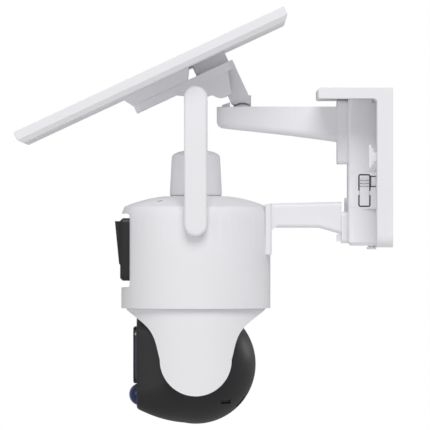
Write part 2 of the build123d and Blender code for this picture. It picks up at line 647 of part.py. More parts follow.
def hub_ring():
    """The snap ring on the hub that keeps the pan gear and the yoke up."""
    return tube((BODY_X, 0, PAN_GEAR_Z + 5.0), (0, 0, 1), 15.0, HUB_R, 1.4)


def tilt_axles():
    """Two stub axles fixed in the ears. They pass through the head's sides."""
    shapes = []
    for side in (-1, 1):
        axle = rod((BODY_X, side * (EAR_INNER + 2.6), HEAD_Z), (0, -side, 0), AXLE_R, 18.6)
        flange = rod((BODY_X, side * (EAR_INNER + 4.2), HEAD_Z), (0, -side, 0), 9.0, 1.6)
        shapes.append(axle + flange - rod((BODY_X, side * 60, HEAD_Z), (0, -side, 0), 2.4, 60))
    return group(shapes)


def tilt_gear():
    """The fixed gear on the far axle, inside the head. The tilt pinion rolls round it."""
    return Pos(BODY_X, TILT_GEAR_Y, HEAD_Z) * Rot(90, 0, 0) * gear(TILT_GEAR_TEETH, 3.6, AXLE_R)


# ---------------------------------------------------------------- head

def head_section(x, half_width, top, bottom, corner, inset):
    plane = Plane(origin=(x, 0, (top + bottom) / 2), x_dir=(0, 1, 0), z_dir=(-1, 0, 0))
    return plane * RectangleRounded(2 * (half_width - inset), top - bottom - 2 * inset, corner - inset)


def head_front_form(inset):
    """The front of the head. It runs from the ball's round section to a flat rounded face."""
    split_r = math.sqrt(HEAD_R ** 2 - (BODY_X - HEAD_SPLIT) ** 2)
    sections = [head_section(HEAD_SPLIT, split_r, HEAD_Z + split_r, HEAD_Z - split_r, split_r - 0.03, inset),
                head_section(-160.5, 35.8, -98.4, -175.2, 26.0, inset),
                head_section(HEAD_FRONT + inset, 27.0, -103.0, -168.0, 12.0, inset)]
    nose = loft(sections)
    face_edges = [e for e in nose.edges() if e.center().X < HEAD_FRONT + inset + 0.01]
    nose = fillet(face_edges, 3.0 - inset * 0.6)
    half = HEAD_FLAT - inset
    return nose & block((-300, 0), (-half, half), (-300, 0))


def head_rear_form(inset):
    """The rear of the head: a ball with flat sides."""
    half = HEAD_FLAT - inset
    ball = Pos(BODY_X, 0, HEAD_Z) * Sphere(HEAD_R - inset)
    return ball & block((HEAD_SPLIT, 0), (-half, half), (-300, 0))


def head_front_shell():
    form = head_front_form(0)
    shape = form - head_front_form(HEAD_WALL) + head_posts() & form
    shape -= block((HEAD_FRONT - 1, HEAD_FRONT + 5), (-17.0, 17.0), (-148.5, -112.9))
    return shape - rod((-200, 0, MOTION_Z), (1, 0, 0), MOTION_R + 0.1, 27)


def head_rear_shell():
    form = head_rear_form(0)
    shape = form - head_rear_form(HEAD_WALL) + head_posts() & form
    for side in (-1, 1):
        shape -= rod((BODY_X, side * 30, HEAD_Z), (0, side, 0), AXLE_R + RUNNING, 10)
    notch = block((-119.0, -112.4), (-34, -20), (-164.5, -161.7))
    notch -= Pos(BODY_X, 0, HEAD_Z) * Sphere(HEAD_R - 1.2)
    return shape - notch - card_slot(0)


def head_posts():
    """The posts in the lower part of the head that its two screws run through."""
    posts = None
    for y in (-20.0, 20.0):
        post = rod((-157.0, y, HEAD_POST_Z), (1, 0, 0), 3.2, 21.0)
        post += block((-157.0, -136.0), (y - 1.2, y + 1.2), (HEAD_POST_Z - 6.0, HEAD_POST_Z))
        post -= rod((-150.0, y, HEAD_POST_Z), (1, 0, 0), 1.3, 17.0)
        posts = post if posts is None else posts + post
    return posts


def card_slot(shrink):
    """The place of the small card cover, low on the ball's back."""
    place = Pos(BODY_X, 0, HEAD_Z) * Rot(0, 40.0, 0)
    return place * Pos(HEAD_R - 0.6, 0, 0) * Box(5.0, 22.0 - shrink, 9.0 - shrink)


def card_cover():
    return card_slot(0.3) & (head_rear_form(0) - head_rear_form(HEAD_WALL))


def lens_window():
    """The flat window over the main lens and its lamps, a step proud of the face."""
    plane = Plane(origin=(HEAD_FRONT, 0, -130.7), x_dir=(0, 1, 0), z_dir=(-1, 0, 0))
    plate = extrude(plane * RectangleRounded(42.0, 39.6, 8.0), 2.4)
    outer = [e for e in plate.edges() if abs(e.center().X - HEAD_FRONT + 2.4) < 0.01]
    plate = chamfer(outer, 0.8)
    plug = extrude(plane * RectangleRounded(33.8, 35.4, 4.0), -1.4)
    return plate + plug


def motion_dome():
    """The domed cover of the motion sensor, below the window."""
    centre = (-175.4, 0, MOTION_Z)
    dome = Pos(*centre) * Sphere(MOTION_R)
    return (dome & block((-200, centre[0]), (-20, 20), (-180, -140))) + rod(centre, (1, 0, 0), MOTION_R, 2.2)


def main_lens_barrel():
    barrel = rod((-176.4, 0, -130.7), (1, 0, 0), 9.0, 15.0)
    barrel -= rod((-177, 0, -130.7), (1, 0, 0), 6.8, 2.6)
    barrel += rod((-174.2, 0, -130.7), (1, 0, 0), 5.6, 0.8)
    return barrel + block((-163.5, -161.4), (-13, 13), (-143.7, -117.7))


def lamp_ring():
    """The lamp board behind the window, with its ring of infrared and white lamps."""
    board = block((-172.6, -171.2), (-16.4, 16.4), (-147.1, -114.3))
    board -= rod((-180, 0, -130.7), (1, 0, 0), 9.3, 20)
    for index in range(8):
        angle = math.radians(22.5 + 45 * index)
        y, z = 12.6 * math.cos(angle), -130.7 + 12.6 * math.sin(angle)
        board += rod((-174.4, y, z), (1, 0, 0), 1.9, 2.0)
    return board


def head_board():
    board = block((-161.4, -159.8), (-20, 20), (-152, -112))
    board += block((-159.8, -158.2), (-8, 6), (-138, -124))
    return board


def tilt_pinion_axis():
    reach = GEAR_MODULE * (TILT_GEAR_TEETH + PINION_TEETH) / 2
    return BODY_X, HEAD_Z + reach


def tilt_motor():
    x, z = tilt_pinion_axis()
    can = rod((x, 6.0, z), (0, 1, 0), 8.0, 14.0)
    ears = block((x - 11.5, x + 11.5), (19.0, 20.0), (z - 3, z + 3))
    return can + ears + rod((x, 19.0, z), (0, 1, 0), 1.5, 8.4)


def tilt_pinion():
    x, z = tilt_pinion_axis()
    # The wheel's own X axis keeps along X, and its tooth gap faces down to the fixed gear.
    wheel = gear(PINION_TEETH, 4.2, 1.5 + RUNNING, -90.0 + 180.0 / PINION_TEETH)
    return Pos(x, TILT_GEAR_Y + 0.3, z) * Rot(90, 0, 0) * wheel


def head_screws():
    """Screws along X that draw the two halves of the head together."""
    shapes = []
    for y in (-20.0, 20.0):
        start = (-136.0, y, HEAD_POST_Z)
        shapes.append(rod(start, (-1, 0, 0), 1.3, 13.0) + rod(start, (1, 0, 0), 2.6, 1.6))
    return group(shapes)


# ---------------------------------------------------------------- solar panel

def panel_place():
    """Moves a shape from the panel's own frame, where u is +X and v is -Z, to its tilt."""
    return Pos(PANEL_EDGE[0], 0, PANEL_EDGE[1]) * Rot(0, -PANEL_TILT, 0)


def panel_tray():
    """The shallow moulded tray under the glass, sloped in round its lower edge."""
    half = PANEL_WIDTH / 2
    middle = (PANEL_LENGTH / 2, 0)
    tray = block((0, PANEL_LENGTH), (-half, half), (-PANEL_SIDE, 0))
    upper = Pos(*middle, -PANEL_SIDE) * Rectangle(PANEL_LENGTH, PANEL_WIDTH)
    lower = Pos(*middle, -PANEL_DEPTH) * Rectangle(PANEL_LENGTH - 2 * PANEL_CHAMFER,
                                                   PANEL_WIDTH - 2 * PANEL_CHAMFER)
    tray += loft([upper, lower])
    rim = PANEL_RIM
    tray -= block((rim, PANEL_LENGTH - rim), (-half + rim, half - rim), (-5.4, 1))
    return panel_place() * tray


def solar_cells():
    half = PANEL_WIDTH / 2 - PANEL_RIM
    sheet = block((PANEL_RIM, PANEL_LENGTH - PANEL_RIM), (-half, half), (-5.4, -3.0))
    return panel_place() * sheet


def panel_glass():
    half = PANEL_WIDTH / 2 - PANEL_RIM
    sheet = block((PANEL_RIM, PANEL_LENGTH - PANEL_RIM), (-half, half), (-3.0, -0.3))
    return panel_place() * sheet


def junction_box():
    """The tapered box under the panel that holds the panel's charging circuit."""
    outline = [(77.6, -PANEL_DEPTH), (129.0, -PANEL_DEPTH), (124.5, -17.4), (82.5, -17.4)]
    box = side_slab(outline, 30.0)
    for u, v in BRACKET_HOLES:
        box -= rod((u, v, -25), (0, 0, 1), 1.5, 10.5)
    return panel_place() * box


def panel_bracket():
    """The flat plate, the gusset cheeks and the strut that drops into the arm's cup."""
    plate = block((82.6, 158.8), (-26, 26), (-23.0, -17.4))
    plate = fillet(plate.edges().filter_by(Axis.Z), 5.0)
    riser = block((131.5, 156.0), (-18, 18), (-17.4, -PANEL_DEPTH))
    cheek = [(113.1, -23.0), (117.6, -25.9), (132.0, -33.1), (135.7, -33.5), (138.3, -36.5), (140.6, -38.2),
             (144.0, -38.7), (148.4, -38.5), (152.9, -23.0)]
    cheeks = side_slab(cheek, 15.0) - side_slab(cheek, 11.8)
    strut = side_slab([(145.4, -22.0), (158.8, -22.0), (158.8, -43.0), (157.9, -49.0), (155.0, -53.0),
                       (145.4, -49.0)], 9.0)
    channel = block((143, 148.8), (-5.6, 5.6), (-45, -24.0))
    local = plate + riser + cheeks + strut - channel
    for u, v in BRACKET_HOLES:
        local -= rod((u, v, -25), (0, 0, 1), 1.5, 12) + rod((u, v, -25), (0, 0, 1), 3.1, 3.6)
    body = panel_place() * local
    eye = rod((SWIVEL_X, -4.8, TILT_Z), (0, 1, 0), 6.0, 9.6)
    neck = side_slab([(-110.0, TILT_Z), (-98.0, TILT_Z), (-98.0, 51.0), (-110.5, 49.5)], 4.8)
    body -= block((-130, -80), (-30, 30), (20.0, 44.3)) + rod((SWIVEL_X, -30, TILT_Z), (0, 1, 0), 8.2, 60)
    shape = body + (neck + eye)
    return shape - rod((SWIVEL_X, -30, TILT_Z), (0, 1, 0), TILT_PIN_R, 60)


def swivel_base():
    """The turntable in the arm's cup, with two lugs for the tilt pin and a raised front lip."""
    shape = rod((SWIVEL_X, 0, CUP_FLOOR), (0, 0, 1), CUP_R - 0.3, 1.4)
    for side in (-1, 1):
        low, high = sorted((side * 5.1, side * 9.6))
        shape += block((SWIVEL_X - 7.0, SWIVEL_X + 7.0), (low, high), (CUP_FLOOR, TILT_Z))
        shape += rod((SWIVEL_X, low, TILT_Z), (0, 1, 0), 7.0, high - low)
    shape += rod((SWIVEL_X, 0, WASHER_Z), (0, 0, 1), STEM_R, CUP_FLOOR - WASHER_Z)
    lip = tube((SWIVEL_X, 0, CUP_FLOOR), (0, 0, 1), CUP_R - 0.3, CUP_R - 2.0, 16.4)
    slope = side_slab([(SWIVEL_X - 20, 42.0), (SWIVEL_X - 20, 60), (SWIVEL_X, 60), (SWIVEL_X, 49.0)], 30)
    shape += lip & block((SWIVEL_X - 20, SWIVEL_X - 8.5), (-20, 20), (0, 60)) - slope
    return shape - rod((SWIVEL_X, -30, TILT_Z), (0, 1, 0), TILT_PIN_R + RUNNING, 60)


def swivel_washer():
    """The push-on washer in a pocket under the arm that holds the swivel base down."""
    return tube((SWIVEL_X, 0, WASHER_Z), (0, 0, 1), 6.6, STEM_R, 1.3)


def tilt_pin():
    pin = rod((SWIVEL_X, -9.6, TILT_Z), (0, 1, 0), TILT_PIN_R, 19.2)
    return chamfer(pin.edges().filter_by(GeomType.CIRCLE), 0.4)


def bracket_screws():
    """Screws up through the bracket plate into the junction box."""
    return [screw((u, v, -21.4), (0, 0, 1), 1.5, 6.9, 3.0, 1.5) for u, v in BRACKET_HOLES]


# ---------------------------------------------------------------- all the pieces

def make_pieces():
    """Every sub-part by its node name."""
    pieces = {
        "wall_plate": wall_plate(),
        "bracket_column": bracket_column(),
        "latch_rocker": latch_rocker(),
        "latch_spring": latch_spring(),
        "cable_cleat": cable_cleat(),
        "column_lock_screw": column_lock_screw(),
        "upper_arm": upper_arm(),
        "lower_arm": lower_arm(),
        "arm_socket": arm_socket(),
        "arm_screws": arm_screws(),
        "body_shell": body_shell(),
        "body_top_cover": body_top_cover(),
        "neck_cap": neck_cap(),
        "neck_cap_seal": neck_cap_seal(),
        "fixed_lens_housing": fixed_lens_housing(),
        "fixed_lens_window": fixed_window_slab(0.1),
        "fixed_lens_barrel": fixed_lens_barrel(),
        "fixed_lens_board": fixed_lens_board(),
        "base_plate": base_plate(),
        "pan_bearing": pan_bearing(),
        "pan_motor": pan_motor(),
        "pan_pinion": pan_pinion(),
        "body_board": body_board(),
        "battery_holder": battery_holder(),
        "battery_cells": battery_cells(),
        "speaker": speaker(),
        "body_screws": body_screws(),
        "antenna_pivots": antenna_pivots(),
        "antenna_left": antenna(-1),
        "antenna_right": antenna(1),
        "pan_yoke": pan_yoke(),
        "pan_gear": pan_gear(),
        "hub_ring": hub_ring(),
        "tilt_axles": tilt_axles(),
        "tilt_gear": tilt_gear(),
        "head_front_shell": head_front_shell(),
        "head_rear_shell": head_rear_shell(),
        "card_cover": card_cover(),
        "lens_window": lens_window(),
        "motion_dome": motion_dome(),
        "main_lens_barrel": main_lens_barrel(),
        "lamp_ring": lamp_ring(),
        "head_board": head_board(),
        "tilt_motor": tilt_motor(),
        "tilt_pinion": tilt_pinion(),
        "head_screws": head_screws(),
        "swivel_base": swivel_base(),
        "swivel_washer": swivel_washer(),
        "tilt_pin": tilt_pin(),
        "panel_bracket": panel_bracket(),
        "bracket_screws": group([panel_place() * shape for shape in bracket_screws()]),
        "junction_box": junction_box(),
        "panel_tray": panel_tray(),
        "solar_cells": solar_cells(),
        "panel_glass": panel_glass(),
    }
    return pieces


os.makedirs("parts", exist_ok=True)
for name, shape in make_pieces().items():
    export_step(shape, f"parts/{name}.step")
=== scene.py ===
import json
import math

import bmesh
import bpy
from mathutils import Matrix, Vector
from mathutils.bvhtree import BVHTree

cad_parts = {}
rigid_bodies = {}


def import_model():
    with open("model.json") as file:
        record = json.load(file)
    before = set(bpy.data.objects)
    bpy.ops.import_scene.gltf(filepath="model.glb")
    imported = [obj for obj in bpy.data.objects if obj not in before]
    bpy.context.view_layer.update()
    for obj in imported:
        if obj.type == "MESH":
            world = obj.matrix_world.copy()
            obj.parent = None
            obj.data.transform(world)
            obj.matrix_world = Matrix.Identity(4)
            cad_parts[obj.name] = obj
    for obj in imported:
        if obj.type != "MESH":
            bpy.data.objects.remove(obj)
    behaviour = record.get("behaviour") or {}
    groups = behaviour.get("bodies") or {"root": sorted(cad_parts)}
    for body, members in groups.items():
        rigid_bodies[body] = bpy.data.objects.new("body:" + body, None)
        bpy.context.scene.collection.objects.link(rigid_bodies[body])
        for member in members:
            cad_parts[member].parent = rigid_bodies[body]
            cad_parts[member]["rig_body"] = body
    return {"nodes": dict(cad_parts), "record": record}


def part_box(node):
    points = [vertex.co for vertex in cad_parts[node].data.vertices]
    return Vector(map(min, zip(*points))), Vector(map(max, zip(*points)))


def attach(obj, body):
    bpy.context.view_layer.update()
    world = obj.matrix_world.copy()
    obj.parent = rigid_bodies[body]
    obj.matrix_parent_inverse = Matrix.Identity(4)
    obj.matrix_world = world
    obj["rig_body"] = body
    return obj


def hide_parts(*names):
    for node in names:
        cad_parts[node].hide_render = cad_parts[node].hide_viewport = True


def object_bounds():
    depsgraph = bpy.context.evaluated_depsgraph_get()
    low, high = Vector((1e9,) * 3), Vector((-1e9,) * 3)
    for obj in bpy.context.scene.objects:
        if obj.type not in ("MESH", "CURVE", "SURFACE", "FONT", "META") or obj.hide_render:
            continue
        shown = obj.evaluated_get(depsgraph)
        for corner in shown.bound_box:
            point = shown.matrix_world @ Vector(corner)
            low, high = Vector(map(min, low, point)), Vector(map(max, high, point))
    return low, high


bl_info = {
    "name": "Solar pan and tilt camera",
    "version": (1, 0, 0),
    "blender": (4, 5, 0),
    "location": "View3D > Sidebar > Solar Camera",
    "description": "Finishes a packed model of a wall-mounted solar security camera",
    "category": "Object",
}

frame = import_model()
CAD_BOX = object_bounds()
SLOT_OF = {part["node"]: part["material_slot"] for part in frame["record"]["subparts"]}

MM = 0.001
# The body's vertical axis, and the heights of the two lenses and of the motion sensor.
BODY_X = sum(corner.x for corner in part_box("neck_cap")) / 2
LENS_Z = sum(corner.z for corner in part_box("main_lens_barrel")) / 2
FIXED_LENS_Z = sum(corner.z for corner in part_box("fixed_lens_barrel")) / 2
MOTION_Z = sum(corner.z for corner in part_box("motion_dome")) / 2

# From here to the panel's, sizes are in millimetres, in the row frame.
# The black strip over the slit on the cover's near slope, painted shade for the slit's dark inside: its
# ends, its sides, how far it rises above the cover's skin, how deep it goes, and the steps that let it
# follow the slope.
SLIT_X = (-163.4, -159.8)
SLIT_Y = (-30.4, -29.2)
SLIT_RISE = 0.06
SLIT_DEPTH = 0.7
SLIT_STEPS = 6

# The web in the corner between the column's top and the wall plate.
WEB_X = (-13.7, -10.9)
WEB_Z = (45.1, 47.6)
WEB_HALF_WIDTH = 25.2

# The latch: its frame, the heights where its slot stops at the pivot's bridge, the slot's width, the
# dark strips laid in the slot as painted shade, and the dark bars painted as shadows under the ribs
# across the rocker's upper half.
LATCH_X = (-23.4, -14.8)
LATCH_Z = (-27.3, -4.4)
LATCH_BRIDGE = (-19.0, -15.9)
LATCH_SLOT = 0.88
SLOT_SHADE_Y = (-28.96, -28.2)
RIB_SHADOW_CENTRE = (-19.1, -29.04, -10.75)
RIB_SHADOW_PITCH = 2.1
RIB_SHADOW_SIZE = (6.2, 0.42, 0.16)

# Outlines of the round optical parts, as (distance behind the barrel's front, radius).
FIXED_GLASS = ((0.2, 0), (0.35, 2.0), (0.75, 3.6), (1.1, 4.3), (1.1, 0))
MAIN_GLASS = ((0.3, 0), (0.45, 2.4), (0.95, 4.6), (1.5, 5.9), (2.1, 6.0), (2.1, 0))
RETAINING_RING = ((2.0, 6.05), (1.2, 6.05), (0.9, 6.3), (0.9, 6.75), (2.0, 6.75))

# The panel's rim and glass, the depths of its layers under its top plane, and where its bracket's
# screws sit.
RIM_WIDTH = 3.0
GLASS_THICK = 2.7
WAFER_DEPTH = 2.98
RIBBON_DEPTH = 2.74
END_RIBBON_DEPTH = 2.8
SCREW_SEAT = (99.5, 0, -22.15)

# The panel's tilt, and its lower front edge in metres.
PANEL_TILT = math.radians(25.0)
PANEL_EDGE = Vector((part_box("panel_tray")[0].x, 0.0, 24.2 * MM))

# The studio, in metres. A softbox has its name, the setting that holds its power, how far along X
# it stands from the point that it is aimed at, its Y, its Z and its width.
SOFTBOXES = (
    ("front_softbox", "key", 0.25, -2.5, 2.3, 1.8), ("top_softbox", "top", 0.0, 0.6, 2.8, 2.0),
    ("side_softbox", "side", -1.9, -1.9, 0.35, 1.3), ("rim_softbox", "rim", 2.2, 1.35, 0.55, 0.8))
FLOOR_RADIUS = 4.5
EYE_PLACE = (-0.1232, -5.53, -0.0329)


def linear(hex_colour):
    """An sRGB hex colour as linear RGBA."""
    values = [int(hex_colour[at:at + 2], 16) / 255 for at in (1, 3, 5)]
    return tuple(v / 12.92 if v <= 0.04045 else ((v + 0.055) / 1.055) ** 2.4 for v in values) + (1.0,)


def add(tree, kind, inputs=None, **settings):
    """Adds a node with its settings, its input values and its links, and returns it."""
    node = tree.nodes.new(kind)
    for name, value in settings.items():
        setattr(node, name, value)
    for key, value in (inputs or {}).items():
        socket = node.inputs[key]
        if isinstance(value, bpy.types.NodeSocket):
            tree.links.new(value, socket)
        else:
            socket.default_value = value
    return node


# ---------------------------------------------------------------- settings

class ShellColours(bpy.types.PropertyGroup):
    """Colours of the moulded plastics."""
    white: bpy.props.FloatVectorProperty(
        name="White shell", description="Colour of the white mouldings", size=4, min=0, max=1,
        subtype="COLOR", default=linear("#F1F1F4"))
    black: bpy.props.FloatVectorProperty(
        name="Black shell", description="Colour of the black mouldings", size=4, min=0, max=1,
        subtype="COLOR", default=linear("#2B2B2D"))
    motion: bpy.props.FloatVectorProperty(
        name="Motion lens", description="Colour of the motion sensor's domed lens", size=4, min=0,
        max=1, subtype="COLOR", default=linear("#0D2350"))
    silicon: bpy.props.FloatVectorProperty(
        name="Solar cells", description="Colour of the coated silicon cells", size=4, min=0, max=1,
        subtype="COLOR", default=linear("#141B33"))


class SurfaceSizes(bpy.types.PropertyGroup):
    """Real sizes of the finish on the mouldings."""
    grain: bpy.props.FloatProperty(
        name="Mould grain", description="Width of one grain of the spark-eroded mould finish",
        unit="LENGTH", default=0.7 * MM, min=0.1 * MM)
    sink: bpy.props.FloatProperty(
        name="Flow width", description="Width of the soft waves that plastic leaves as it cools",
        unit="LENGTH", default=38 * MM, min=1 * MM)
    edge: bpy.props.FloatProperty(
        name="Edge rounding", description="Width of the small rounding along moulded edges",
        unit="LENGTH", default=0.4 * MM, min=0)


class PanelLayout(bpy.types.PropertyGroup):
    """Layout of the solar panel's cells."""
    columns: bpy.props.IntProperty(
        name="Cell columns", description="Cells along the panel's length", default=6, min=1)
    rows: bpy.props.IntProperty(
        name="Cell rows", description="Cells across the panel's width", default=2, min=1)
    gap: bpy.props.FloatProperty(
        name="Cell gap", description="Gap between two cells", unit="LENGTH", default=1.6 * MM)
    margin: bpy.props.FloatProperty(
        name="Margin", description="Bare strip between the cells and the rim", unit="LENGTH",
        default=3.2 * MM)
    busbar: bpy.props.FloatProperty(
        name="Busbar width", description="Width of the tinned ribbon on a cell", unit="LENGTH",
        default=1.1 * MM)
    finger: bpy.props.FloatProperty(
        name="Finger pitch", description="Distance between two silver finger lines",
        unit="LENGTH", default=2.0 * MM)


class StudioLight(bpy.types.PropertyGroup):
    """The studio round the camera."""
    surround: bpy.props.FloatProperty(
        name="Surround", description="Brightness of the white studio all round", default=0.34, min=0)
    key: bpy.props.FloatProperty(
        name="Front softbox", description="Power of the large softbox in front", unit="POWER",
        default=60.0, min=0)
    top: bpy.props.FloatProperty(
        name="Top softbox", description="Power of the softbox overhead", unit="POWER", default=20.0,
        min=0)
    side: bpy.props.FloatProperty(
        name="Side softbox", description="Power of the softbox on the lens side", unit="POWER",
        default=5.0, min=0)
    rim: bpy.props.FloatProperty(
        name="Rim softbox", description="Power of the softbox behind, on the wall side",
        unit="POWER", default=5.0, min=0)
    floor_drop: bpy.props.FloatProperty(
        name="Floor drop", description="Gap between the camera and the floor", unit="LENGTH",
        default=0.26, min=0)


class SolarCameraSettings(bpy.types.PropertyGroup):
    """All the settings of the solar camera."""
    colours: bpy.props.PointerProperty(type=ShellColours)
    sizes: bpy.props.PointerProperty(type=SurfaceSizes)
    panel: bpy.props.PointerProperty(type=PanelLayout)
    studio: bpy.props.PointerProperty(type=StudioLight)


def settings():
    return bpy.context.scene.solar_camera


# ---------------------------------------------------------------- finishes

def new_finish(name):
    """An empty node material, and its tree, its Object coordinates and its output."""
    material = bpy.data.materials.new(name)
    material.use_nodes = True
    tree = material.node_tree
    tree.nodes.clear()
    place = add(tree, "ShaderNodeTexCoord").outputs["Object"]
    output = add(tree, "ShaderNodeOutputMaterial")
    return material, tree, place, output


def noise(tree, place, width, detail=3.0, roughness=0.5):
    """A noise whose patches are about width metres across."""
    return add(tree, "ShaderNodeTexNoise", {
        "Vector": place, "Scale": 1.0 / width, "Detail": detail, "Roughness": roughness}).outputs["Fac"]


def ramp(tree, value, low, high):
    """Maps a 0 to 1 value on to the range low to high."""
    return add(tree, "ShaderNodeMapRange", {
        "Value": value, "To Min": low, "To Max": high}).outputs["Result"]


def blend_colours(tree, factor, first, second):
    node = add(tree, "ShaderNodeMix", data_type="RGBA")
    for socket, value in ((node.inputs[0], factor), (node.inputs[6], first), (node.inputs[7], second)):
        if isinstance(value, bpy.types.NodeSocket):
            tree.links.new(value, socket)
        else:
            socket.default_value = value
    return node.outputs[2]


def shade(colour, amount):
    """A linear colour made darker or lighter by a factor."""
    return tuple(min(1.0, channel * amount) for channel in colour[:3]) + (1.0,)


def moulded(name, colour, gloss, ior, grain, depth, spread=0.96, grain_detail=2.0):
    """An injection moulding: an eroded mould grain, and soft waves where the walls cooled."""
    material, tree, place, output = new_finish(name)
    flow = noise(tree, place, settings().sizes.sink, 2.0)
    grit = noise(tree, place, grain, grain_detail, 0.6)
    bump = add(tree, "ShaderNodeBump", {"Strength": 1.0, "Distance": depth, "Height": grit})
    surface = add(tree, "ShaderNodeBsdfPrincipled", {
        "Base Color": blend_colours(tree, flow, shade(colour, spread), colour),
        "Roughness": ramp(tree, add(tree, "ShaderNodeMath", {0: flow, 1: grit},
                                    operation="MULTIPLY").outputs[0], gloss + 0.07, gloss - 0.05),
        "IOR": ior, "Normal": bump.outputs["Normal"]})
    tree.links.new(surface.outputs[0], output.inputs["Surface"])
    return material


def spark_eroded_white_abs():
    # ABS from a spark-eroded mould. The fine grit breaks up the sheen, so it looks satin.
    sizes = settings().sizes
    return moulded("spark_eroded_white_abs", settings().colours.white, 0.46, 1.53, sizes.grain,
                   0.006 * MM)


def satin_black_polycarbonate():
    # Polycarbonate off a fine satin mould. It keeps broad soft highlights on the round head.
    # Plain polycarbonate's IOR is 1.585, and the texture takes a little more shine away.
    sizes = settings().sizes
    return moulded("satin_black_polycarbonate", settings().colours.black, 0.36, 1.46, sizes.grain,
                   0.004 * MM, 0.9)


def matt_black_abs():
    # ABS off a coarsely grained mould, which takes nearly all the shine away. The same finish also
    # serves as painted shade in the latch's gap and slot, under its ribs and over the cover's slit.
    return moulded("matt_black_abs", linear("#1F1F21"), 0.62, 1.53, 0.9 * MM, 0.012 * MM, 0.85)


def glass_filled_nylon():
    # Grey nylon with short glass fibres, which mottle its dull surface.
    return moulded("glass_filled_nylon", linear("#9A9B9D"), 0.6, 1.53, 1.4 * MM, 0.01 * MM, 0.85, 5.0)


def natural_acetal():
    # Unpigmented acetal, a slightly waxy off-white that gears are moulded from.
    return moulded("natural_acetal", linear("#EDE9DC"), 0.34, 1.48, 2.5 * MM, 0.004 * MM, 0.94)


def silicone_rubber():
    # Black silicone, soft and dull, with a dusty bloom.
    return moulded("silicone_rubber", linear("#232324"), 0.78, 1.43, 0.5 * MM, 0.01 * MM, 0.7)


def grey_silicone():
    # Unfilled grey silicone, a pale dull gasket.
    return moulded("grey_silicone", linear("#C4C5C9"), 0.7, 1.43, 0.5 * MM, 0.01 * MM, 0.9)


def blackened_barrel():
    # The blackened inside of a lens barrel, threaded and painted so that it reflects little.
    return moulded("blackened_barrel", linear("#121214"), 0.5, 1.5, 0.6 * MM, 0.01 * MM, 0.8)


def zinc_plated_steel():
    # Bright zinc plate on steel: a cool grey metal with a faint crystalline mottle.
    material, tree, place, output = new_finish("zinc_plated_steel")
    mottle = noise(tree, place, 1.5 * MM, 4.0)
    surface = add(tree, "ShaderNodeBsdfPrincipled", {
        "Base Color": blend_colours(tree, mottle, linear("#A9ADB1"), linear("#C9CCCE")),
        "Metallic": 1.0, "Roughness": ramp(tree, mottle, 0.28, 0.42)})
    tree.links.new(surface.outputs[0], output.inputs["Surface"])
    return material


def clear_sheet(name, wave, detail, depth, tints, gloss, ior):
    """A clear sheet: a tinted view through it, and a reflection that grows at low angles."""
    material, tree, place, output = new_finish(name)
    waves = noise(tree, place, wave, detail)
    bump = add(tree, "ShaderNodeBump", {"Strength": 1.0, "Distance": depth, "Height": waves})
    clear = add(tree, "ShaderNodeBsdfTransparent", {
        "Color": blend_colours(tree, waves, linear(tints[0]), linear(tints[1]))})
    shine = add(tree, "ShaderNodeBsdfAnisotropic", {
        "Color": linear("#FFFFFF"), "Roughness": gloss, "Normal": bump.outputs["Normal"]})
    share = add(tree, "ShaderNodeFresnel", {"IOR": ior, "Normal": bump.outputs["Normal"]})
    pane = add(tree, "ShaderNodeMixShader", {
        0: share.outputs[0], 1: clear.outputs[0], 2: shine.outputs[0]})
    tree.links.new(pane.outputs[0], output.inputs["Surface"])
    return material


def infrared_clear_acrylic():
    # Acrylic dyed to pass infrared. It looks like black glass with the lens just showing.
    return clear_sheet("infrared_clear_acrylic", 14 * MM, 1.0, 0.004 * MM, ("#7A7C86", "#82848C"),
                       0.04, 1.49)


def toughened_glass():
    # Low-iron toughened glass: nearly clear, with a bright sky reflection at low angles.
    return clear_sheet("toughened_glass", 1.2 * MM, 2.0, 0.003 * MM, ("#F2F8F6", "#F6FBFA"), 0.07,
                       1.5)


def coated_lens_glass():
    # Multi-coated optical glass over a black barrel: black, with a violet and green bloom.
    material, tree, place, output = new_finish("coated_lens_glass")
    centre = add(tree, "ShaderNodeMapping", {"Vector": place, "Scale": (0, 90, 90),
                                             "Location": (0, 0, -LENS_Z * 90)})
    bloom = add(tree, "ShaderNodeTexGradient", {"Vector": centre.outputs[0]},
                gradient_type="SPHERICAL").outputs["Fac"]
    surface = add(tree, "ShaderNodeBsdfPrincipled", {
        "Base Color": blend_colours(tree, bloom, linear("#0A1A16"), linear("#1B1236")),
        "Roughness": 0.05, "IOR": 1.7, "Coat Weight": 0.6, "Coat Roughness": 0.02,
        "Specular Tint": linear("#B7A4FF")})
    tree.links.new(surface.outputs[0], output.inputs["Surface"])
    return material


def blue_polyethylene_lens():
    # Dyed polyethylene motion lens. Its facets are moulded inside, so they show as soft cells.
    colour = settings().colours.motion
    material, tree, place, output = new_finish("blue_polyethylene_lens")
    facets = add(tree, "ShaderNodeTexVoronoi", {"Vector": place, "Scale": 1 / (3.2 * MM)},
                 feature="F1").outputs["Distance"]
    centre = add(tree, "ShaderNodeMapping", {"Vector": place, "Scale": (0, 130, 130),
                                             "Location": (0, 0, -MOTION_Z * 130)})
    disc = add(tree, "ShaderNodeTexGradient", {"Vector": centre.outputs[0]},
               gradient_type="SPHERICAL").outputs["Fac"]
    inner = add(tree, "ShaderNodeMapRange", {"Value": disc, "From Min": 0.35, "From Max": 0.5})
    bump = add(tree, "ShaderNodeBump", {"Strength": 0.5, "Distance": 0.05 * MM, "Height": facets})
    surface = add(tree, "ShaderNodeBsdfPrincipled", {
        "Base Color": blend_colours(tree, inner.outputs["Result"], colour, shade(colour, 3.2)),
        "Roughness": ramp(tree, facets, 0.12, 0.24), "IOR": 1.51, "Coat Weight": 0.5,
        "Coat Roughness": 0.05, "Normal": bump.outputs["Normal"]})
    tree.links.new(surface.outputs[0], output.inputs["Surface"])
    return material


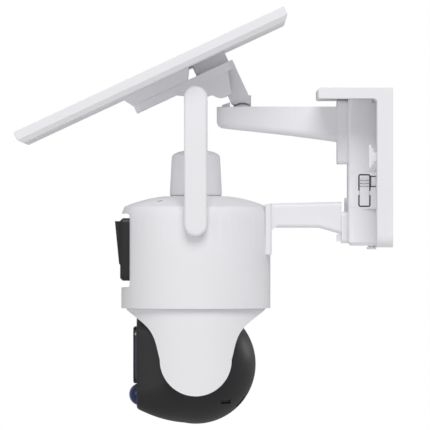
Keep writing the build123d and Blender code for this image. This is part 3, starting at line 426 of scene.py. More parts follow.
def panel_place(tree, place):
    """Object coordinates turned into the panel's own plane: X along it, Y across it."""
    centred = add(tree, "ShaderNodeVectorMath", {0: place, 1: PANEL_EDGE}, operation="SUBTRACT")
    return add(tree, "ShaderNodeVectorRotate", {
        "Vector": centred.outputs[0], "Axis": (0, 1, 0), "Angle": PANEL_TILT},
        rotation_type="AXIS_ANGLE").outputs[0]


def stripes(tree, value, pitch, width):
    """1 on lines of a width that repeat at a pitch, and 0 between them."""
    wrapped = add(tree, "ShaderNodeMath", {0: value, 1: 1 / pitch}, operation="MULTIPLY")
    part = add(tree, "ShaderNodeMath", {0: wrapped.outputs[0]}, operation="FRACT")
    return add(tree, "ShaderNodeMath", {0: part.outputs[0], 1: width / pitch},
               operation="LESS_THAN").outputs[0]


def monocrystalline_silicon():
    # Nitride-coated mono silicon: deep blue-black with fine silver fingers. The real fingers
    # are 0.06 mm wide, and are drawn 0.16 mm wide here so that they show.
    material, tree, place, output = new_finish("monocrystalline_silicon")
    colour = settings().colours.silicon
    across = add(tree, "ShaderNodeSeparateXYZ", {0: panel_place(tree, place)})
    fingers = stripes(tree, across.outputs["X"], settings().panel.finger, 0.16 * MM)
    cloud = noise(tree, place, 22 * MM, 3.0)
    wafer = blend_colours(tree, cloud, shade(colour, 0.8), shade(colour, 1.25))
    surface = add(tree, "ShaderNodeBsdfPrincipled", {
        "Base Color": blend_colours(tree, fingers, wafer, linear("#8E96A4")),
        "Roughness": ramp(tree, cloud, 0.3, 0.42), "IOR": 1.9})
    tree.links.new(surface.outputs[0], output.inputs["Surface"])
    return material


def tinned_ribbon():
    # Solder-dipped copper ribbon, bright and slightly uneven.
    material, tree, place, output = new_finish("tinned_ribbon")
    solder = noise(tree, place, 2.2 * MM, 2.0)
    bump = add(tree, "ShaderNodeBump", {"Strength": 1.0, "Distance": 0.02 * MM, "Height": solder})
    surface = add(tree, "ShaderNodeBsdfPrincipled", {
        "Base Color": blend_colours(tree, solder, linear("#B9BCC2"), linear("#D9DBDF")),
        "Metallic": 1.0, "Roughness": ramp(tree, solder, 0.25, 0.4),
        "Normal": bump.outputs["Normal"]})
    tree.links.new(surface.outputs[0], output.inputs["Surface"])
    return material


def white_backsheet():
    # White polyester backsheet under the cells, faintly wrinkled by lamination.
    return moulded("white_backsheet", linear("#E9ECEE"), 0.5, 1.57, 6 * MM, 0.02 * MM, 0.95)


def green_solder_mask():
    # Glass-epoxy board under solder mask. Copper tracks show through as a lighter green.
    material, tree, place, output = new_finish("green_solder_mask")
    tracks = add(tree, "ShaderNodeTexVoronoi", {"Vector": place, "Scale": 1 / (3 * MM)},
                 feature="DISTANCE_TO_EDGE").outputs["Distance"]
    line = add(tree, "ShaderNodeMath", {0: tracks, 1: 0.06}, operation="LESS_THAN").outputs[0]
    bump = add(tree, "ShaderNodeBump", {"Strength": 0.6, "Distance": 0.03 * MM, "Height": line})
    surface = add(tree, "ShaderNodeBsdfPrincipled", {
        "Base Color": blend_colours(tree, line, linear("#12452A"), linear("#2C7A4A")),
        "Roughness": ramp(tree, tracks, 0.3, 0.4), "IOR": 1.55, "Normal": bump.outputs["Normal"]})
    tree.links.new(surface.outputs[0], output.inputs["Surface"])
    return material


def shrunk_cell_sleeve():
    # Blue sleeve shrunk on to a lithium cell. It is glossy and puckers a little.
    return moulded("shrunk_cell_sleeve", linear("#2C6BB3"), 0.24, 1.54, 7 * MM, 0.05 * MM, 0.85)


def lamp_epoxy():
    # Clear cast epoxy over an infrared lamp's dark chip.
    return moulded("lamp_epoxy", linear("#5A4A5E"), 0.1, 1.55, 1.2 * MM, 0.01 * MM, 0.5)


def lamp_phosphor():
    # Yellow phosphor on a white lamp's chip, under clear epoxy.
    return moulded("lamp_phosphor", linear("#E8D34A"), 0.22, 1.5, 0.6 * MM, 0.01 * MM, 0.85)


def studio_paper():
    # A sheet of pale backdrop paper with a faint tooth.
    return moulded("studio_paper", linear("#F4F4F5"), 0.85, 1.5, 3 * MM, 0.05 * MM, 0.99)


FINISH_OF_SLOT = {
    "white_shell": spark_eroded_white_abs, "black_shell": satin_black_polycarbonate,
    "black_trim": matt_black_abs, "grey_plastic": glass_filled_nylon,
    "dark_window": infrared_clear_acrylic, "motion_lens": blue_polyethylene_lens,
    "lens_black": blackened_barrel, "seal_rubber": silicone_rubber,
    "gear_plastic": natural_acetal, "steel": zinc_plated_steel, "board": green_solder_mask,
    "cell_wrap": shrunk_cell_sleeve, "silicon": monocrystalline_silicon,
    "cover_glass": toughened_glass}


def finish(maker):
    """The material that a finish function makes, made once and then shared."""
    return bpy.data.materials.get(maker.__name__) or maker()


# ---------------------------------------------------------------- making pieces

def body_of(node):
    return frame["nodes"][node]["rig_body"]


def keep(obj, body, slot, *nodes):
    """Puts a piece on its body, and lets it stand for the nodes it is made from. The slot is not used.
    """
    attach(obj, body)
    if nodes:
        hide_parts(*nodes)
    return obj


def new_piece(name, mesh, maker, soft_angle=34.0):
    """A piece with one finish, smooth except where its faces meet at more than an angle."""
    obj = bpy.data.objects.new(name, mesh)
    bpy.context.scene.collection.objects.link(obj)
    mesh.materials.clear()
    mesh.materials.append(finish(maker))
    mesh.shade_smooth()
    mesh.set_sharp_from_angle(angle=math.radians(soft_angle))
    return obj


def as_mesh(form, name):
    """The mesh of a closed form, with its faces turned outwards."""
    bmesh.ops.recalc_face_normals(form, faces=form.faces)
    mesh = bpy.data.meshes.new(name)
    form.to_mesh(mesh)
    form.free()
    return mesh


def clean_copy(node):
    """A CAD node's mesh with its doubles merged and its flat faces made whole."""
    form = bmesh.new()
    form.from_mesh(frame["nodes"][node].data)
    bmesh.ops.remove_doubles(form, verts=form.verts, dist=0.002 * MM)
    bmesh.ops.dissolve_limit(form, angle_limit=math.radians(0.5), verts=form.verts,
                             edges=form.edges)
    form.verts.index_update()
    corners = [vert.co.copy() for vert in form.verts]
    faces = [[vert.index for vert in face.verts] for face in form.faces]
    form.free()
    mesh = bpy.data.meshes.new(node)
    mesh.from_pydata(corners, [], faces)
    return mesh


def finished(node, maker=None, edge=1.0, slot=None):
    """Stands a finished copy in for a CAD node. edge scales the rounding of its edges."""
    slot = slot or SLOT_OF[node]
    obj = new_piece(f"{node}_finished", clean_copy(node), maker or FINISH_OF_SLOT[slot])
    if edge:
        rounding = obj.modifiers.new("rounded_edges", "BEVEL")
        rounding.width = settings().sizes.edge * edge
        rounding.segments = 2
        rounding.limit_method = "ANGLE"
        rounding.angle_limit = math.radians(42)
        rounding.harden_normals = True
    return keep(obj, body_of(node), slot, node)


def carried(*nodes):
    """Gives CAD nodes the finish of their slot."""
    for node in nodes:
        mesh = frame["nodes"][node].data
        mesh.materials.clear()
        mesh.materials.append(finish(FINISH_OF_SLOT[SLOT_OF[node]]))


def turned(name, profile, barrel, height, maker, slot, steps=48):
    """A closed round piece in the front of a lens barrel, about a line along X at a height."""
    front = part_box(barrel)[0].x
    form = bmesh.new()
    rings = []
    for behind, width in profile:
        x, radius = front + behind * MM, width * MM
        count = steps if radius > 0 else 1
        angles = [2 * math.pi * step / count for step in range(count)]
        rings.append([form.verts.new((x, radius * math.cos(a), height + radius * math.sin(a)))
                      for a in angles])
    if profile[0][1] > 0:
        rings.append(rings[0])
    for first, second in zip(rings, rings[1:]):
        for step in range(steps):
            after = (step + 1) % steps
            corners = [first[step % len(first)], first[after % len(first)],
                       second[after % len(second)], second[step % len(second)]]
            form.faces.new(list(dict.fromkeys(corners)))
    return keep(new_piece(name, as_mesh(form, name), maker), body_of(barrel), slot)


# ---------------------------------------------------------------- patterns

def new_pattern(name, **inputs):
    """A Geometry Nodes tree with named inputs. Returns the tree and its inputs' sockets."""
    tree = bpy.data.node_groups.new(name, "GeometryNodeTree")
    tree.interface.new_socket("Geometry", in_out="OUTPUT", socket_type="NodeSocketGeometry")
    for label, kind in inputs.items():
        tree.interface.new_socket(label, in_out="INPUT", socket_type=f"NodeSocket{kind}")
    return tree, add(tree, "NodeGroupInput").outputs


def close_pattern(tree, geometry, given):
    """Turns the pattern to its tilt, puts it in its place, realises it and sets its finish."""
    turned_over = add(tree, "GeometryNodeTransform", {
        "Geometry": geometry, "Rotation": given["Turn"], "Translation": given["Place"]})
    whole = add(tree, "GeometryNodeRealizeInstances", {"Geometry": turned_over.outputs[0]})
    painted = add(tree, "GeometryNodeSetMaterial", {
        "Geometry": whole.outputs[0], "Material": given["Finish"]})
    add(tree, "NodeGroupOutput", {"Geometry": painted.outputs[0]})
    return tree


def maths(tree, operation, *values):
    return add(tree, "ShaderNodeMath", dict(enumerate(values)), operation=operation).outputs[0]


def vector(tree, x=0.0, y=0.0, z=0.0):
    return add(tree, "ShaderNodeCombineXYZ", {"X": x, "Y": y, "Z": z}).outputs[0]


def even_grid(tree, given):
    """A point at the middle of each step of a grid."""
    length = maths(tree, "MULTIPLY", maths(tree, "SUBTRACT", given["Columns"], 1.0), given["Step X"])
    width = maths(tree, "MULTIPLY", maths(tree, "SUBTRACT", given["Rows"], 1.0), given["Step Y"])
    return add(tree, "GeometryNodeMeshGrid", {
        "Size X": length, "Size Y": width, "Vertices X": given["Columns"],
        "Vertices Y": given["Rows"]}).outputs["Mesh"]


GRID_INPUTS = {"Columns": "Int", "Rows": "Int", "Step X": "Float", "Step Y": "Float",
               "Place": "Vector", "Turn": "Rotation", "Finish": "Material"}


def wafer_pattern():
    """Thin cells with clipped corners, set out in a grid."""
    tree, given = new_pattern("solar_wafers", **GRID_INPUTS, Length="Float", Width="Float",
                              Corner="Float", Thickness="Float")
    outline = add(tree, "GeometryNodeCurvePrimitiveQuadrilateral", {
        "Width": given["Length"], "Height": given["Width"]}, mode="RECTANGLE")
    clipped = add(tree, "GeometryNodeFilletCurve", {
        "Curve": outline.outputs[0], "Radius": given["Corner"]})
    sheet = add(tree, "GeometryNodeFillCurve", {"Curve": clipped.outputs[0]})
    raised = add(tree, "GeometryNodeExtrudeMesh", {
        "Mesh": sheet.outputs[0], "Offset Scale": given["Thickness"], "Individual": False})
    under = add(tree, "GeometryNodeFlipFaces", {"Mesh": sheet.outputs[0]})
    both = add(tree, "GeometryNodeJoinGeometry")
    tree.links.new(raised.outputs[0], both.inputs[0])
    tree.links.new(under.outputs[0], both.inputs[0])
    wafer = add(tree, "GeometryNodeMergeByDistance", {
        "Geometry": both.outputs[0], "Distance": 0.001 * MM})
    cells = add(tree, "GeometryNodeInstanceOnPoints", {
        "Points": even_grid(tree, given), "Instance": wafer.outputs[0]})
    return close_pattern(tree, cells.outputs[0], given)


def bar_pattern():
    """Flat bars, such as ribbons or the painted shadows under the latch's ribs, set out in a grid."""
    tree, given = new_pattern("flat_bars", **GRID_INPUTS, Size="Vector")
    bar = add(tree, "GeometryNodeMeshCube", {"Size": given["Size"]})
    bars = add(tree, "GeometryNodeInstanceOnPoints", {
        "Points": even_grid(tree, given), "Instance": bar.outputs["Mesh"]})
    return close_pattern(tree, bars.outputs[0], given)


def screw_pattern():
    """Pan-head screws with a cross recess, set out in a grid, heads down."""
    tree, given = new_pattern("pan_head_screws", **GRID_INPUTS, **{
        "Head radius": "Float", "Head height": "Float", "Shank radius": "Float", "Shank": "Float"})
    head = add(tree, "GeometryNodeMeshCone", {
        "Vertices": 32, "Radius Top": given["Head radius"], "Depth": given["Head height"],
        "Radius Bottom": maths(tree, "MULTIPLY", given["Head radius"], 0.72)})
    recess = []
    for across in (0, 1):
        long, narrow = given["Head radius"], maths(tree, "MULTIPLY", given["Head radius"], 0.26)
        size = vector(tree, *((long, narrow) if across else (narrow, long)), given["Head height"])
        recess.append(add(tree, "GeometryNodeMeshCube", {"Size": size}).outputs["Mesh"])
    cross = add(tree, "GeometryNodeMeshBoolean", operation="UNION", solver="EXACT")
    for bar in recess:
        tree.links.new(bar, cross.inputs[1])
    sunk = add(tree, "GeometryNodeTransform", {
        "Geometry": cross.outputs["Mesh"],
        "Translation": vector(tree, z=maths(tree, "MULTIPLY", given["Head height"], -0.45))})
    driven = add(tree, "GeometryNodeMeshBoolean", {"Mesh 1": head.outputs["Mesh"]},
                 operation="DIFFERENCE", solver="EXACT")
    tree.links.new(sunk.outputs[0], driven.inputs[1])
    shank = add(tree, "GeometryNodeMeshCylinder", {
        "Vertices": 24, "Radius": given["Shank radius"], "Depth": given["Shank"]})
    above = add(tree, "GeometryNodeTransform", {
        "Geometry": shank.outputs["Mesh"],
        "Translation": vector(tree, z=maths(tree, "MULTIPLY", given["Shank"], 0.5))})
    screw = add(tree, "GeometryNodeJoinGeometry")
    tree.links.new(driven.outputs["Mesh"], screw.inputs[0])
    tree.links.new(above.outputs[0], screw.inputs[0])
    screws = add(tree, "GeometryNodeInstanceOnPoints", {
        "Points": even_grid(tree, given), "Instance": screw.outputs[0]})
    return close_pattern(tree, screws.outputs[0], given)


def lamp_pattern():
    """Domed lamps evenly round a circle, facing up."""
    tree, given = new_pattern("lamp_ring_domes", Count="Int", Radius="Float", Dome="Float",
                              Place="Vector", Turn="Rotation", Finish="Material")
    ring = add(tree, "GeometryNodeMeshCircle", {
        "Vertices": given["Count"], "Radius": given["Radius"]})
    dome = add(tree, "GeometryNodeMeshUVSphere", {
        "Segments": 20, "Rings": 12, "Radius": given["Dome"]})
    flat = add(tree, "GeometryNodeTransform", {"Geometry": dome.outputs["Mesh"],
                                               "Scale": (1.0, 1.0, 0.7)})
    lamps = add(tree, "GeometryNodeInstanceOnPoints", {
        "Points": ring.outputs["Mesh"], "Instance": flat.outputs[0]})
    return close_pattern(tree, lamps.outputs[0], given)


def chip_pattern():
    """Small chips scattered over a board by a fixed seed, square to its edges."""
    tree, given = new_pattern("board_chips", Length="Float", Width="Float", Spacing="Float",
                              Size="Vector", Seed="Int", Place="Vector", Turn="Rotation",
                              Finish="Material")
    sheet = add(tree, "GeometryNodeMeshGrid", {"Size X": given["Length"], "Size Y": given["Width"]})
    spots = add(tree, "GeometryNodeDistributePointsOnFaces", {
        "Mesh": sheet.outputs["Mesh"], "Distance Min": given["Spacing"], "Density Max": 60000.0,
        "Seed": given["Seed"]}, distribute_method="POISSON")
    quarter = add(tree, "FunctionNodeRandomValue", {"Min": 0, "Max": 1, "Seed": given["Seed"]},
                  data_type="INT")
    angle = maths(tree, "MULTIPLY", quarter.outputs[2], math.pi / 2)
    turn = add(tree, "FunctionNodeEulerToRotation", {"Euler": vector(tree, z=angle)})
    chip = add(tree, "GeometryNodeMeshCube", {"Size": given["Size"]})
    chips = add(tree, "GeometryNodeInstanceOnPoints", {
        "Points": spots.outputs["Points"], "Instance": chip.outputs["Mesh"],
        "Rotation": turn.outputs[0]})
    return close_pattern(tree, chips.outputs[0], given)


def patterned(name, tree, body, slot, maker, values, *nodes):
    """Runs a pattern with its inputs and keeps what it makes as one plain mesh piece."""
    holder = bpy.data.objects.new(name, bpy.data.meshes.new(name))
    bpy.context.scene.collection.objects.link(holder)
    pattern = holder.modifiers.new("pattern", "NODES")
    pattern.node_group = tree
    values = {**values, "Finish": finish(maker)}
    for socket in tree.interface.items_tree:
        if socket.in_out == "INPUT":
            pattern[socket.identifier] = values[socket.name]
    evaluated = holder.evaluated_get(bpy.context.evaluated_depsgraph_get())
    mesh = bpy.data.meshes.new_from_object(evaluated)
    bpy.data.objects.remove(holder)
    if not mesh.polygons:
        raise RuntimeError(f"{name}: the pattern made nothing")
    mesh.name = name
    return keep(new_piece(name, mesh, maker), body, slot, *nodes)


# ---------------------------------------------------------------- pieces of the camera

class PieceOperator:
    """What every piece's operator shares."""
    bl_options = {"REGISTER", "UNDO"}


def blacken_gap(obj):
    """Paints shade on the narrow faces round the latch with the matt black finish, so that the gap
    reads as a clean dark line.
    """
    obj.data.materials.append(finish(matt_black_abs))
    for face in obj.data.polygons:
        x, y, z = face.center / MM
        inside = LATCH_X[0] < x < LATCH_X[1] and LATCH_Z[0] < z < LATCH_Z[1] and y < 0
        if inside and abs(face.normal.y) < 0.5:
            face.material_index = 1


def prism(name, outline, depth, body, slot, maker):
    """A flat outline drawn in X and Z, and as thick as its two Y values are apart."""
    form = bmesh.new()
    near, far = ([form.verts.new((x * MM, y * MM, z * MM)) for x, z in outline] for y in depth)
    form.faces.new(near)
    form.faces.new(far)
    for step in range(len(outline)):
        after = (step + 1) % len(outline)
        form.faces.new((near[step], near[after], far[after], far[step]))
    return keep(new_piece(name, as_mesh(form, name), maker), body, slot)


def slot_lining(name, end, bridge):
    """A dark C-shaped strip in the slot round one half of the rocker: painted shade where the gap falls
    dark.
    """
    left, right = LATCH_X
    inset = LATCH_SLOT if end > bridge else -LATCH_SLOT
    outline = [(left, bridge), (left, end), (right, end), (right, bridge),
               (right - LATCH_SLOT, bridge), (right - LATCH_SLOT, end - inset),
               (left + LATCH_SLOT, end - inset), (left + LATCH_SLOT, bridge)]
    prism(name, outline, SLOT_SHADE_Y, body_of("bracket_column"), "black_trim", matt_black_abs)


class SOLARCAM_OT_wall_bracket(PieceOperator, bpy.types.Operator):
    """The L-shaped wall plate, the column in front of it and the parts screwed to them"""
    bl_idname = "solarcam.wall_bracket"
    bl_label = "Wall Bracket"

    def execute(self, context):
        for node in ("wall_plate", "arm_socket"):
            finished(node)
        # The column's narrow faces in the latch's gap get painted shade.
        blacken_gap(finished("bracket_column"))
        # Dark C-shaped strips in the latch's slot, as painted shade.
        slot_lining("latch_lining_upper", LATCH_Z[1], LATCH_BRIDGE[1])
        slot_lining("latch_lining_lower", LATCH_Z[0], LATCH_BRIDGE[0])
        (front, rear), (bottom, top) = WEB_X, WEB_Z
        corner = [(front, bottom), (rear, bottom), (rear, top), (front, top)]
        prism("column_corner_web", corner, (-WEB_HALF_WIDTH, WEB_HALF_WIDTH),
              body_of("bracket_column"), "white_shell", spark_eroded_white_abs)
        finished("cable_cleat", slot="white_shell")
        finished("column_lock_screw", edge=0.4, slot="white_shell")
        carried("latch_spring", "arm_screws")
        return {"FINISHED"}


class SOLARCAM_OT_latch(PieceOperator, bpy.types.Operator):
    """The rocker that is pressed to free the column from the wall plate"""
    bl_idname = "solarcam.latch"
    bl_label = "Latch"

    def execute(self, context):
        # The rocker's narrow faces in the latch's gap get painted shade.
        blacken_gap(finished("latch_rocker", edge=0.4))
        # Three dark bars under the rocker's ribs: painted shadows.
        patterned("latch_ribs", bar_pattern(), body_of("latch_rocker"), "black_trim", matt_black_abs, {
            "Columns": 1, "Rows": 3, "Step X": 0.0, "Step Y": RIB_SHADOW_PITCH * MM,
            "Place": tuple(Vector(RIB_SHADOW_CENTRE) * MM), "Turn": (math.radians(90), 0.0, 0.0),
            "Size": tuple(Vector(RIB_SHADOW_SIZE) * MM)})
        return {"FINISHED"}


class SOLARCAM_OT_arms(PieceOperator, bpy.types.Operator):
    """The upper arm under the panel and the lower arm behind the body"""
    bl_idname = "solarcam.arms"
    bl_label = "Arms"

    def execute(self, context):
        for node in ("upper_arm", "lower_arm"):
            finished(node)
        return {"FINISHED"}


def cover_slit():
    """A small black strip laid in the slit of the crowned cover, following its slope: painted shade for
    the slit's dark inside.
    """
    skin = frame["nodes"]["body_top_cover"].data
    cover = BVHTree.FromPolygons([vert.co for vert in skin.vertices],
                                 [tuple(face.vertices) for face in skin.polygons])
    near, far = SLIT_Y
    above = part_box("neck_cap")[1].z / MM
    form = bmesh.new()
    rows = []
    for step in range(SLIT_STEPS + 1):
        x = SLIT_X[0] + (SLIT_X[1] - SLIT_X[0]) * step / SLIT_STEPS
        ring = []
        for y, rise in ((near, SLIT_RISE), (far, SLIT_RISE), (far, -SLIT_DEPTH), (near, -SLIT_DEPTH)):
            hit = cover.ray_cast(Vector((x, y, above)) * MM, Vector((0, 0, -1)))[0]
            ring.append(form.verts.new((hit.x, hit.y, hit.z + rise * MM)))
        rows.append(ring)
    for first, second in zip(rows, rows[1:]):
        for side in range(4):
            after = (side + 1) % 4
            form.faces.new((first[side], first[after], second[after], second[side]))
    form.faces.new(rows[0])
    form.faces.new(rows[-1])
    keep(new_piece("cover_slit", as_mesh(form, "cover_slit"), matt_black_abs),
         body_of("body_top_cover"), "black_trim")


class SOLARCAM_OT_body(PieceOperator, bpy.types.Operator):
    """The round body, its crowned cover, the neck cap and the seal under it"""
    bl_idname = "solarcam.body"
    bl_label = "Body"

    def execute(self, context):
        for node in ("body_shell", "body_top_cover", "neck_cap"):
            finished(node, edge=0.8)
        # A black strip over the cover's slit, as painted shade.
        cover_slit()
        finished("neck_cap_seal", grey_silicone, 0)
        carried("base_plate", "body_screws")
        return {"FINISHED"}


class SOLARCAM_OT_antennas(PieceOperator, bpy.types.Operator):
    """The two flat antennas and the pins that they turn on"""
    bl_idname = "solarcam.antennas"
    bl_label = "Antennas"

    def execute(self, context):
        for node in ("antenna_left", "antenna_right"):
            finished(node, edge=0)
        carried("antenna_pivots")
        return {"FINISHED"}


class SOLARCAM_OT_fixed_lens(PieceOperator, bpy.types.Operator):
    """The fixed lens module: its hood, window, barrel, glass and two lamps"""
    bl_idname = "solarcam.fixed_lens"
    bl_label = "Fixed Lens"

    def execute(self, context):
        finished("fixed_lens_housing", edge=0)
        finished("fixed_lens_window", edge=0)
        finished("fixed_lens_barrel", edge=0.5)
        carried("fixed_lens_board")
        turned("fixed_lens_glass", FIXED_GLASS, "fixed_lens_barrel", FIXED_LENS_Z,
               coated_lens_glass, "lens_black")
        return {"FINISHED"}


class SOLARCAM_OT_yoke(PieceOperator, bpy.types.Operator):
    """The turning yoke whose two ears hold the head"""
    bl_idname = "solarcam.yoke"
    bl_label = "Pan Yoke"

    def execute(self, context):
        finished("pan_yoke")
        carried("tilt_axles", "hub_ring")
        return {"FINISHED"}


class SOLARCAM_OT_head(PieceOperator, bpy.types.Operator):
    """The two black halves of the head, the card cover and the screws inside"""
    bl_idname = "solarcam.head"
    bl_label = "Head"

    def execute(self, context):
        for node in ("head_front_shell", "head_rear_shell", "card_cover"):
            finished(node, edge=0.6)
        carried("head_screws")
        return {"FINISHED"}


class SOLARCAM_OT_head_optics(PieceOperator, bpy.types.Operator):
    """The main lens, the ring of lamps, the dark window over them and the motion sensor"""
    bl_idname = "solarcam.head_optics"
    bl_label = "Head Optics"

    def execute(self, context):
        barrel = "main_lens_barrel"
        finished("lens_window", edge=0.6)
        finished("motion_dome", edge=0)
        finished("main_lens_barrel", edge=0.5)
        carried("lamp_ring", "head_board")
        turned("main_lens_glass", MAIN_GLASS, barrel, LENS_Z, coated_lens_glass, "lens_black")
        turned("main_lens_retaining_ring", RETAINING_RING, barrel, LENS_Z, matt_black_abs,
               "lens_black")
        lamps = lamp_pattern()
        facing = Matrix.Rotation(math.radians(-90), 3, "Y")
        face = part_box("lamp_ring")[0].x
        for name, maker, first in (("infrared_lamps", lamp_epoxy, 22.5),
                                   ("white_lamps", lamp_phosphor, 67.5)):
            patterned(name, lamps, body_of(barrel), "dark_window", maker, {
                "Count": 4, "Radius": 12.6 * MM, "Dome": 1.7 * MM,
                "Place": (face + 0.1 * MM, 0.0, LENS_Z),
                "Turn": (facing @ Matrix.Rotation(math.radians(first), 3, "Z")).to_euler()})
        return {"FINISHED"}


class SOLARCAM_OT_drives(PieceOperator, bpy.types.Operator):
    """The pan and tilt motors, their pinions, the gears and the pan bearing"""
    bl_idname = "solarcam.drives"
    bl_label = "Drives"

    def execute(self, context):
        carried("pan_bearing", "pan_motor", "pan_pinion", "pan_gear", "tilt_gear", "tilt_motor",
                "tilt_pinion")
        return {"FINISHED"}


class SOLARCAM_OT_electronics(PieceOperator, bpy.types.Operator):
    """The boards and their chips, the two cells on their holder and the speaker"""
    bl_idname = "solarcam.electronics"
    bl_label = "Electronics"

    def execute(self, context):
        carried("body_board", "battery_holder", "battery_cells", "speaker")
        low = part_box("body_board")[0]
        chips = {"Length": 24 * MM, "Width": 40 * MM, "Spacing": 5 * MM, "Seed": 7,
                 "Size": (2.4 * MM, 1.4 * MM, 0.8 * MM), "Turn": (0.0, 0.0, 0.0),
                 "Place": (BODY_X - 20 * MM, 0.0, low.z + 1.9 * MM)}
        patterned("body_board_chips", chip_pattern(), body_of("body_board"), "board",
                  matt_black_abs, chips)
        return {"FINISHED"}


def on_panel(along, across, above):
    """A point given in the panel's own plane, in the row frame."""
    return PANEL_EDGE + Matrix.Rotation(-PANEL_TILT, 3, "Y") @ Vector((along, across, above))


class SOLARCAM_OT_solar_panel(PieceOperator, bpy.types.Operator):
    """The tray, the backsheet, the cells with their ribbons, the glass and the junction box"""
    bl_idname = "solarcam.solar_panel"
    bl_label = "Solar Panel"

    def execute(self, context):
        layout, body = settings().panel, body_of("solar_cells")
        finished("panel_tray")
        finished("junction_box")
        finished("panel_glass", edge=0.6)
        finished("solar_cells", white_backsheet, edge=0)
        low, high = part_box("panel_glass")
        length = (high.x - low.x - GLASS_THICK * MM * math.sin(PANEL_TILT)) / math.cos(PANEL_TILT)
        step_x = (length - 2 * layout.margin + layout.gap) / layout.columns
        step_y = (high.y - low.y - 2 * layout.margin + layout.gap) / layout.rows
        turn = (0.0, -PANEL_TILT, 0.0)
        middle = RIM_WIDTH * MM + length / 2
        patterned("solar_wafers", wafer_pattern(), body, "silicon", monocrystalline_silicon, {
            "Columns": layout.columns, "Rows": layout.rows, "Step X": step_x, "Step Y": step_y,
            "Length": step_x - layout.gap, "Width": step_y - layout.gap, "Corner": 2.6 * MM,
            "Thickness": 0.2 * MM, "Turn": turn, "Place": on_panel(middle, 0, -WAFER_DEPTH * MM)})
        ribbons = bar_pattern()
        for row in range(layout.rows):
            across = (row - (layout.rows - 1) / 2) * step_y
            patterned(f"cell_ribbons_{row + 1}", ribbons, body, "steel", tinned_ribbon, {
                "Columns": 1, "Rows": 3, "Step X": step_x, "Step Y": (step_y - layout.gap) / 3,
                "Size": (length - 2 * layout.margin + 2 * MM, layout.busbar, 0.12 * MM),
                "Turn": turn, "Place": on_panel(middle, across, -RIBBON_DEPTH * MM)})
        patterned("end_ribbons", ribbons, body, "steel", tinned_ribbon, {
            "Columns": 2, "Rows": 1, "Step X": length - 2 * layout.margin + 1.6 * MM,
            "Step Y": step_y, "Size": (1.6 * MM, high.y - low.y - 14 * MM, 0.1 * MM),
            "Turn": turn, "Place": on_panel(middle, 0, -END_RIBBON_DEPTH * MM)})
        return {"FINISHED"}


class SOLARCAM_OT_panel_mount(PieceOperator, bpy.types.Operator):
    """The swivel in the arm's cup, its pin and washer, the panel's bracket and its screws"""
    bl_idname = "solarcam.panel_mount"
    bl_label = "Panel Mount"

    def execute(self, context):
        for node in ("swivel_base", "panel_bracket"):
            finished(node)
        finished("tilt_pin", edge=0.3)
        carried("swivel_washer")
        patterned("bracket_screws_finished", screw_pattern(), body_of("bracket_screws"), "steel",
                  zinc_plated_steel, {
                      "Columns": 2, "Rows": 2, "Step X": 17 * MM, "Step Y": 40 * MM,
                      "Head radius": 3.0 * MM, "Head height": 1.5 * MM, "Shank radius": 1.5 * MM,
                      "Shank": 7.4 * MM, "Turn": (0.0, -PANEL_TILT, 0.0),
                      "Place": on_panel(*(size * MM for size in SCREW_SEAT))}, "bracket_screws")
        return {"FINISHED"}


# ---------------------------------------------------------------- stage

def softbox(name, place, aim, size, power):
    """A square area light that faces a point."""
    light = bpy.data.lights.new(name, "AREA")
    light.shape = "SQUARE"
    light.size = size
    light.energy = power
    obj = bpy.data.objects.new(name, light)
    obj.location = place
    obj.rotation_euler = (Vector(aim) - Vector(place)).to_track_quat("-Z", "Y").to_euler()
    bpy.context.scene.collection.objects.link(obj)


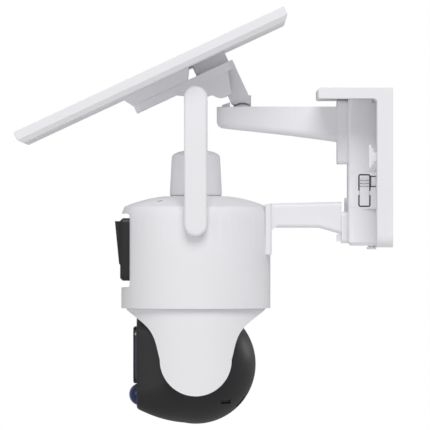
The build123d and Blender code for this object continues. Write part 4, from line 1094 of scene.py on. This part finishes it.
class SOLARCAM_OT_stage(PieceOperator, bpy.types.Operator):
    """A round sheet of pale paper, soft lights, a white surround and the viewing camera"""
    bl_idname = "solarcam.stage"
    bl_label = "Stage"

    def execute(self, context):
        scene, studio = context.scene, settings().studio
        low, high = CAD_BOX
        form = bmesh.new()
        bmesh.ops.create_circle(form, cap_ends=True, segments=96, radius=FLOOR_RADIUS)
        form.faces.ensure_lookup_table()
        if form.faces[0].normal.z < 0:
            bmesh.ops.reverse_faces(form, faces=form.faces)
        paper = bpy.data.meshes.new("studio_floor")
        form.to_mesh(paper)
        form.free()
        floor = new_piece("studio_floor", paper, studio_paper)
        floor.location = ((low.x + high.x) / 2, 0, low.z - studio.floor_drop)
        floor.visible_glossy = False

        aim = ((low.x + high.x) / 2, 0, (low.z + high.z) / 2)
        for name, power, along, y, z, width in SOFTBOXES:
            softbox(name, (aim[0] + along, y, z), aim, width, getattr(studio, power))

        world = bpy.data.worlds.new("white_studio")
        world.use_nodes = True
        tree = world.node_tree
        tree.nodes.clear()
        path = add(tree, "ShaderNodeLightPath")
        seen = add(tree, "ShaderNodeMapRange", {
            "Value": path.outputs["Is Camera Ray"], "To Min": studio.surround, "To Max": 1.0})
        sky = add(tree, "ShaderNodeBackground", {
            "Color": linear("#FFFFFF"), "Strength": seen.outputs["Result"]})
        add(tree, "ShaderNodeOutputWorld", {"Surface": sky.outputs[0]})
        scene.world = world

        eye = bpy.data.cameras.new("viewing_camera")
        eye.sensor_width = 36.0
        eye.lens = 661.0
        eye.clip_start, eye.clip_end = 0.1, 60.0
        viewer = bpy.data.objects.new("viewing_camera", eye)
        viewer.location = EYE_PLACE
        viewer.rotation_euler = (math.pi / 2, 0, 0)
        scene.collection.objects.link(viewer)
        scene.camera = viewer
        scene.view_settings.view_transform = "Standard"
        return {"FINISHED"}


PIECES = (
    SOLARCAM_OT_wall_bracket, SOLARCAM_OT_latch, SOLARCAM_OT_arms, SOLARCAM_OT_body,
    SOLARCAM_OT_antennas, SOLARCAM_OT_fixed_lens, SOLARCAM_OT_yoke, SOLARCAM_OT_head,
    SOLARCAM_OT_head_optics, SOLARCAM_OT_drives, SOLARCAM_OT_electronics,
    SOLARCAM_OT_solar_panel, SOLARCAM_OT_panel_mount, SOLARCAM_OT_stage)
GROUPS = (ShellColours, SurfaceSizes, PanelLayout, StudioLight, SolarCameraSettings)


class SOLARCAM_PT_pieces(bpy.types.Panel):
    """Every piece of the solar camera, and its settings"""
    bl_idname = "SOLARCAM_PT_pieces"
    bl_label = "Solar Camera"
    bl_space_type = "VIEW_3D"
    bl_region_type = "UI"
    bl_category = "Solar Camera"

    def draw(self, context):
        for piece in PIECES:
            self.layout.operator(piece.bl_idname)
        chosen = context.scene.solar_camera
        for group in (chosen.colours, chosen.sizes, chosen.panel, chosen.studio):
            box = self.layout.box()
            for label in group.__annotations__:
                box.prop(group, label)


def register():
    for item in GROUPS + PIECES + (SOLARCAM_PT_pieces,):
        bpy.utils.register_class(item)
    bpy.types.Scene.solar_camera = bpy.props.PointerProperty(type=SolarCameraSettings)


def unregister():
    del bpy.types.Scene.solar_camera
    for item in reversed(GROUPS + PIECES + (SOLARCAM_PT_pieces,)):
        bpy.utils.unregister_class(item)


def main():
    register()
    for piece in PIECES:
        group, name = piece.bl_idname.split(".")
        getattr(getattr(bpy.ops, group), name)()


if __name__ == "__main__":
    main()
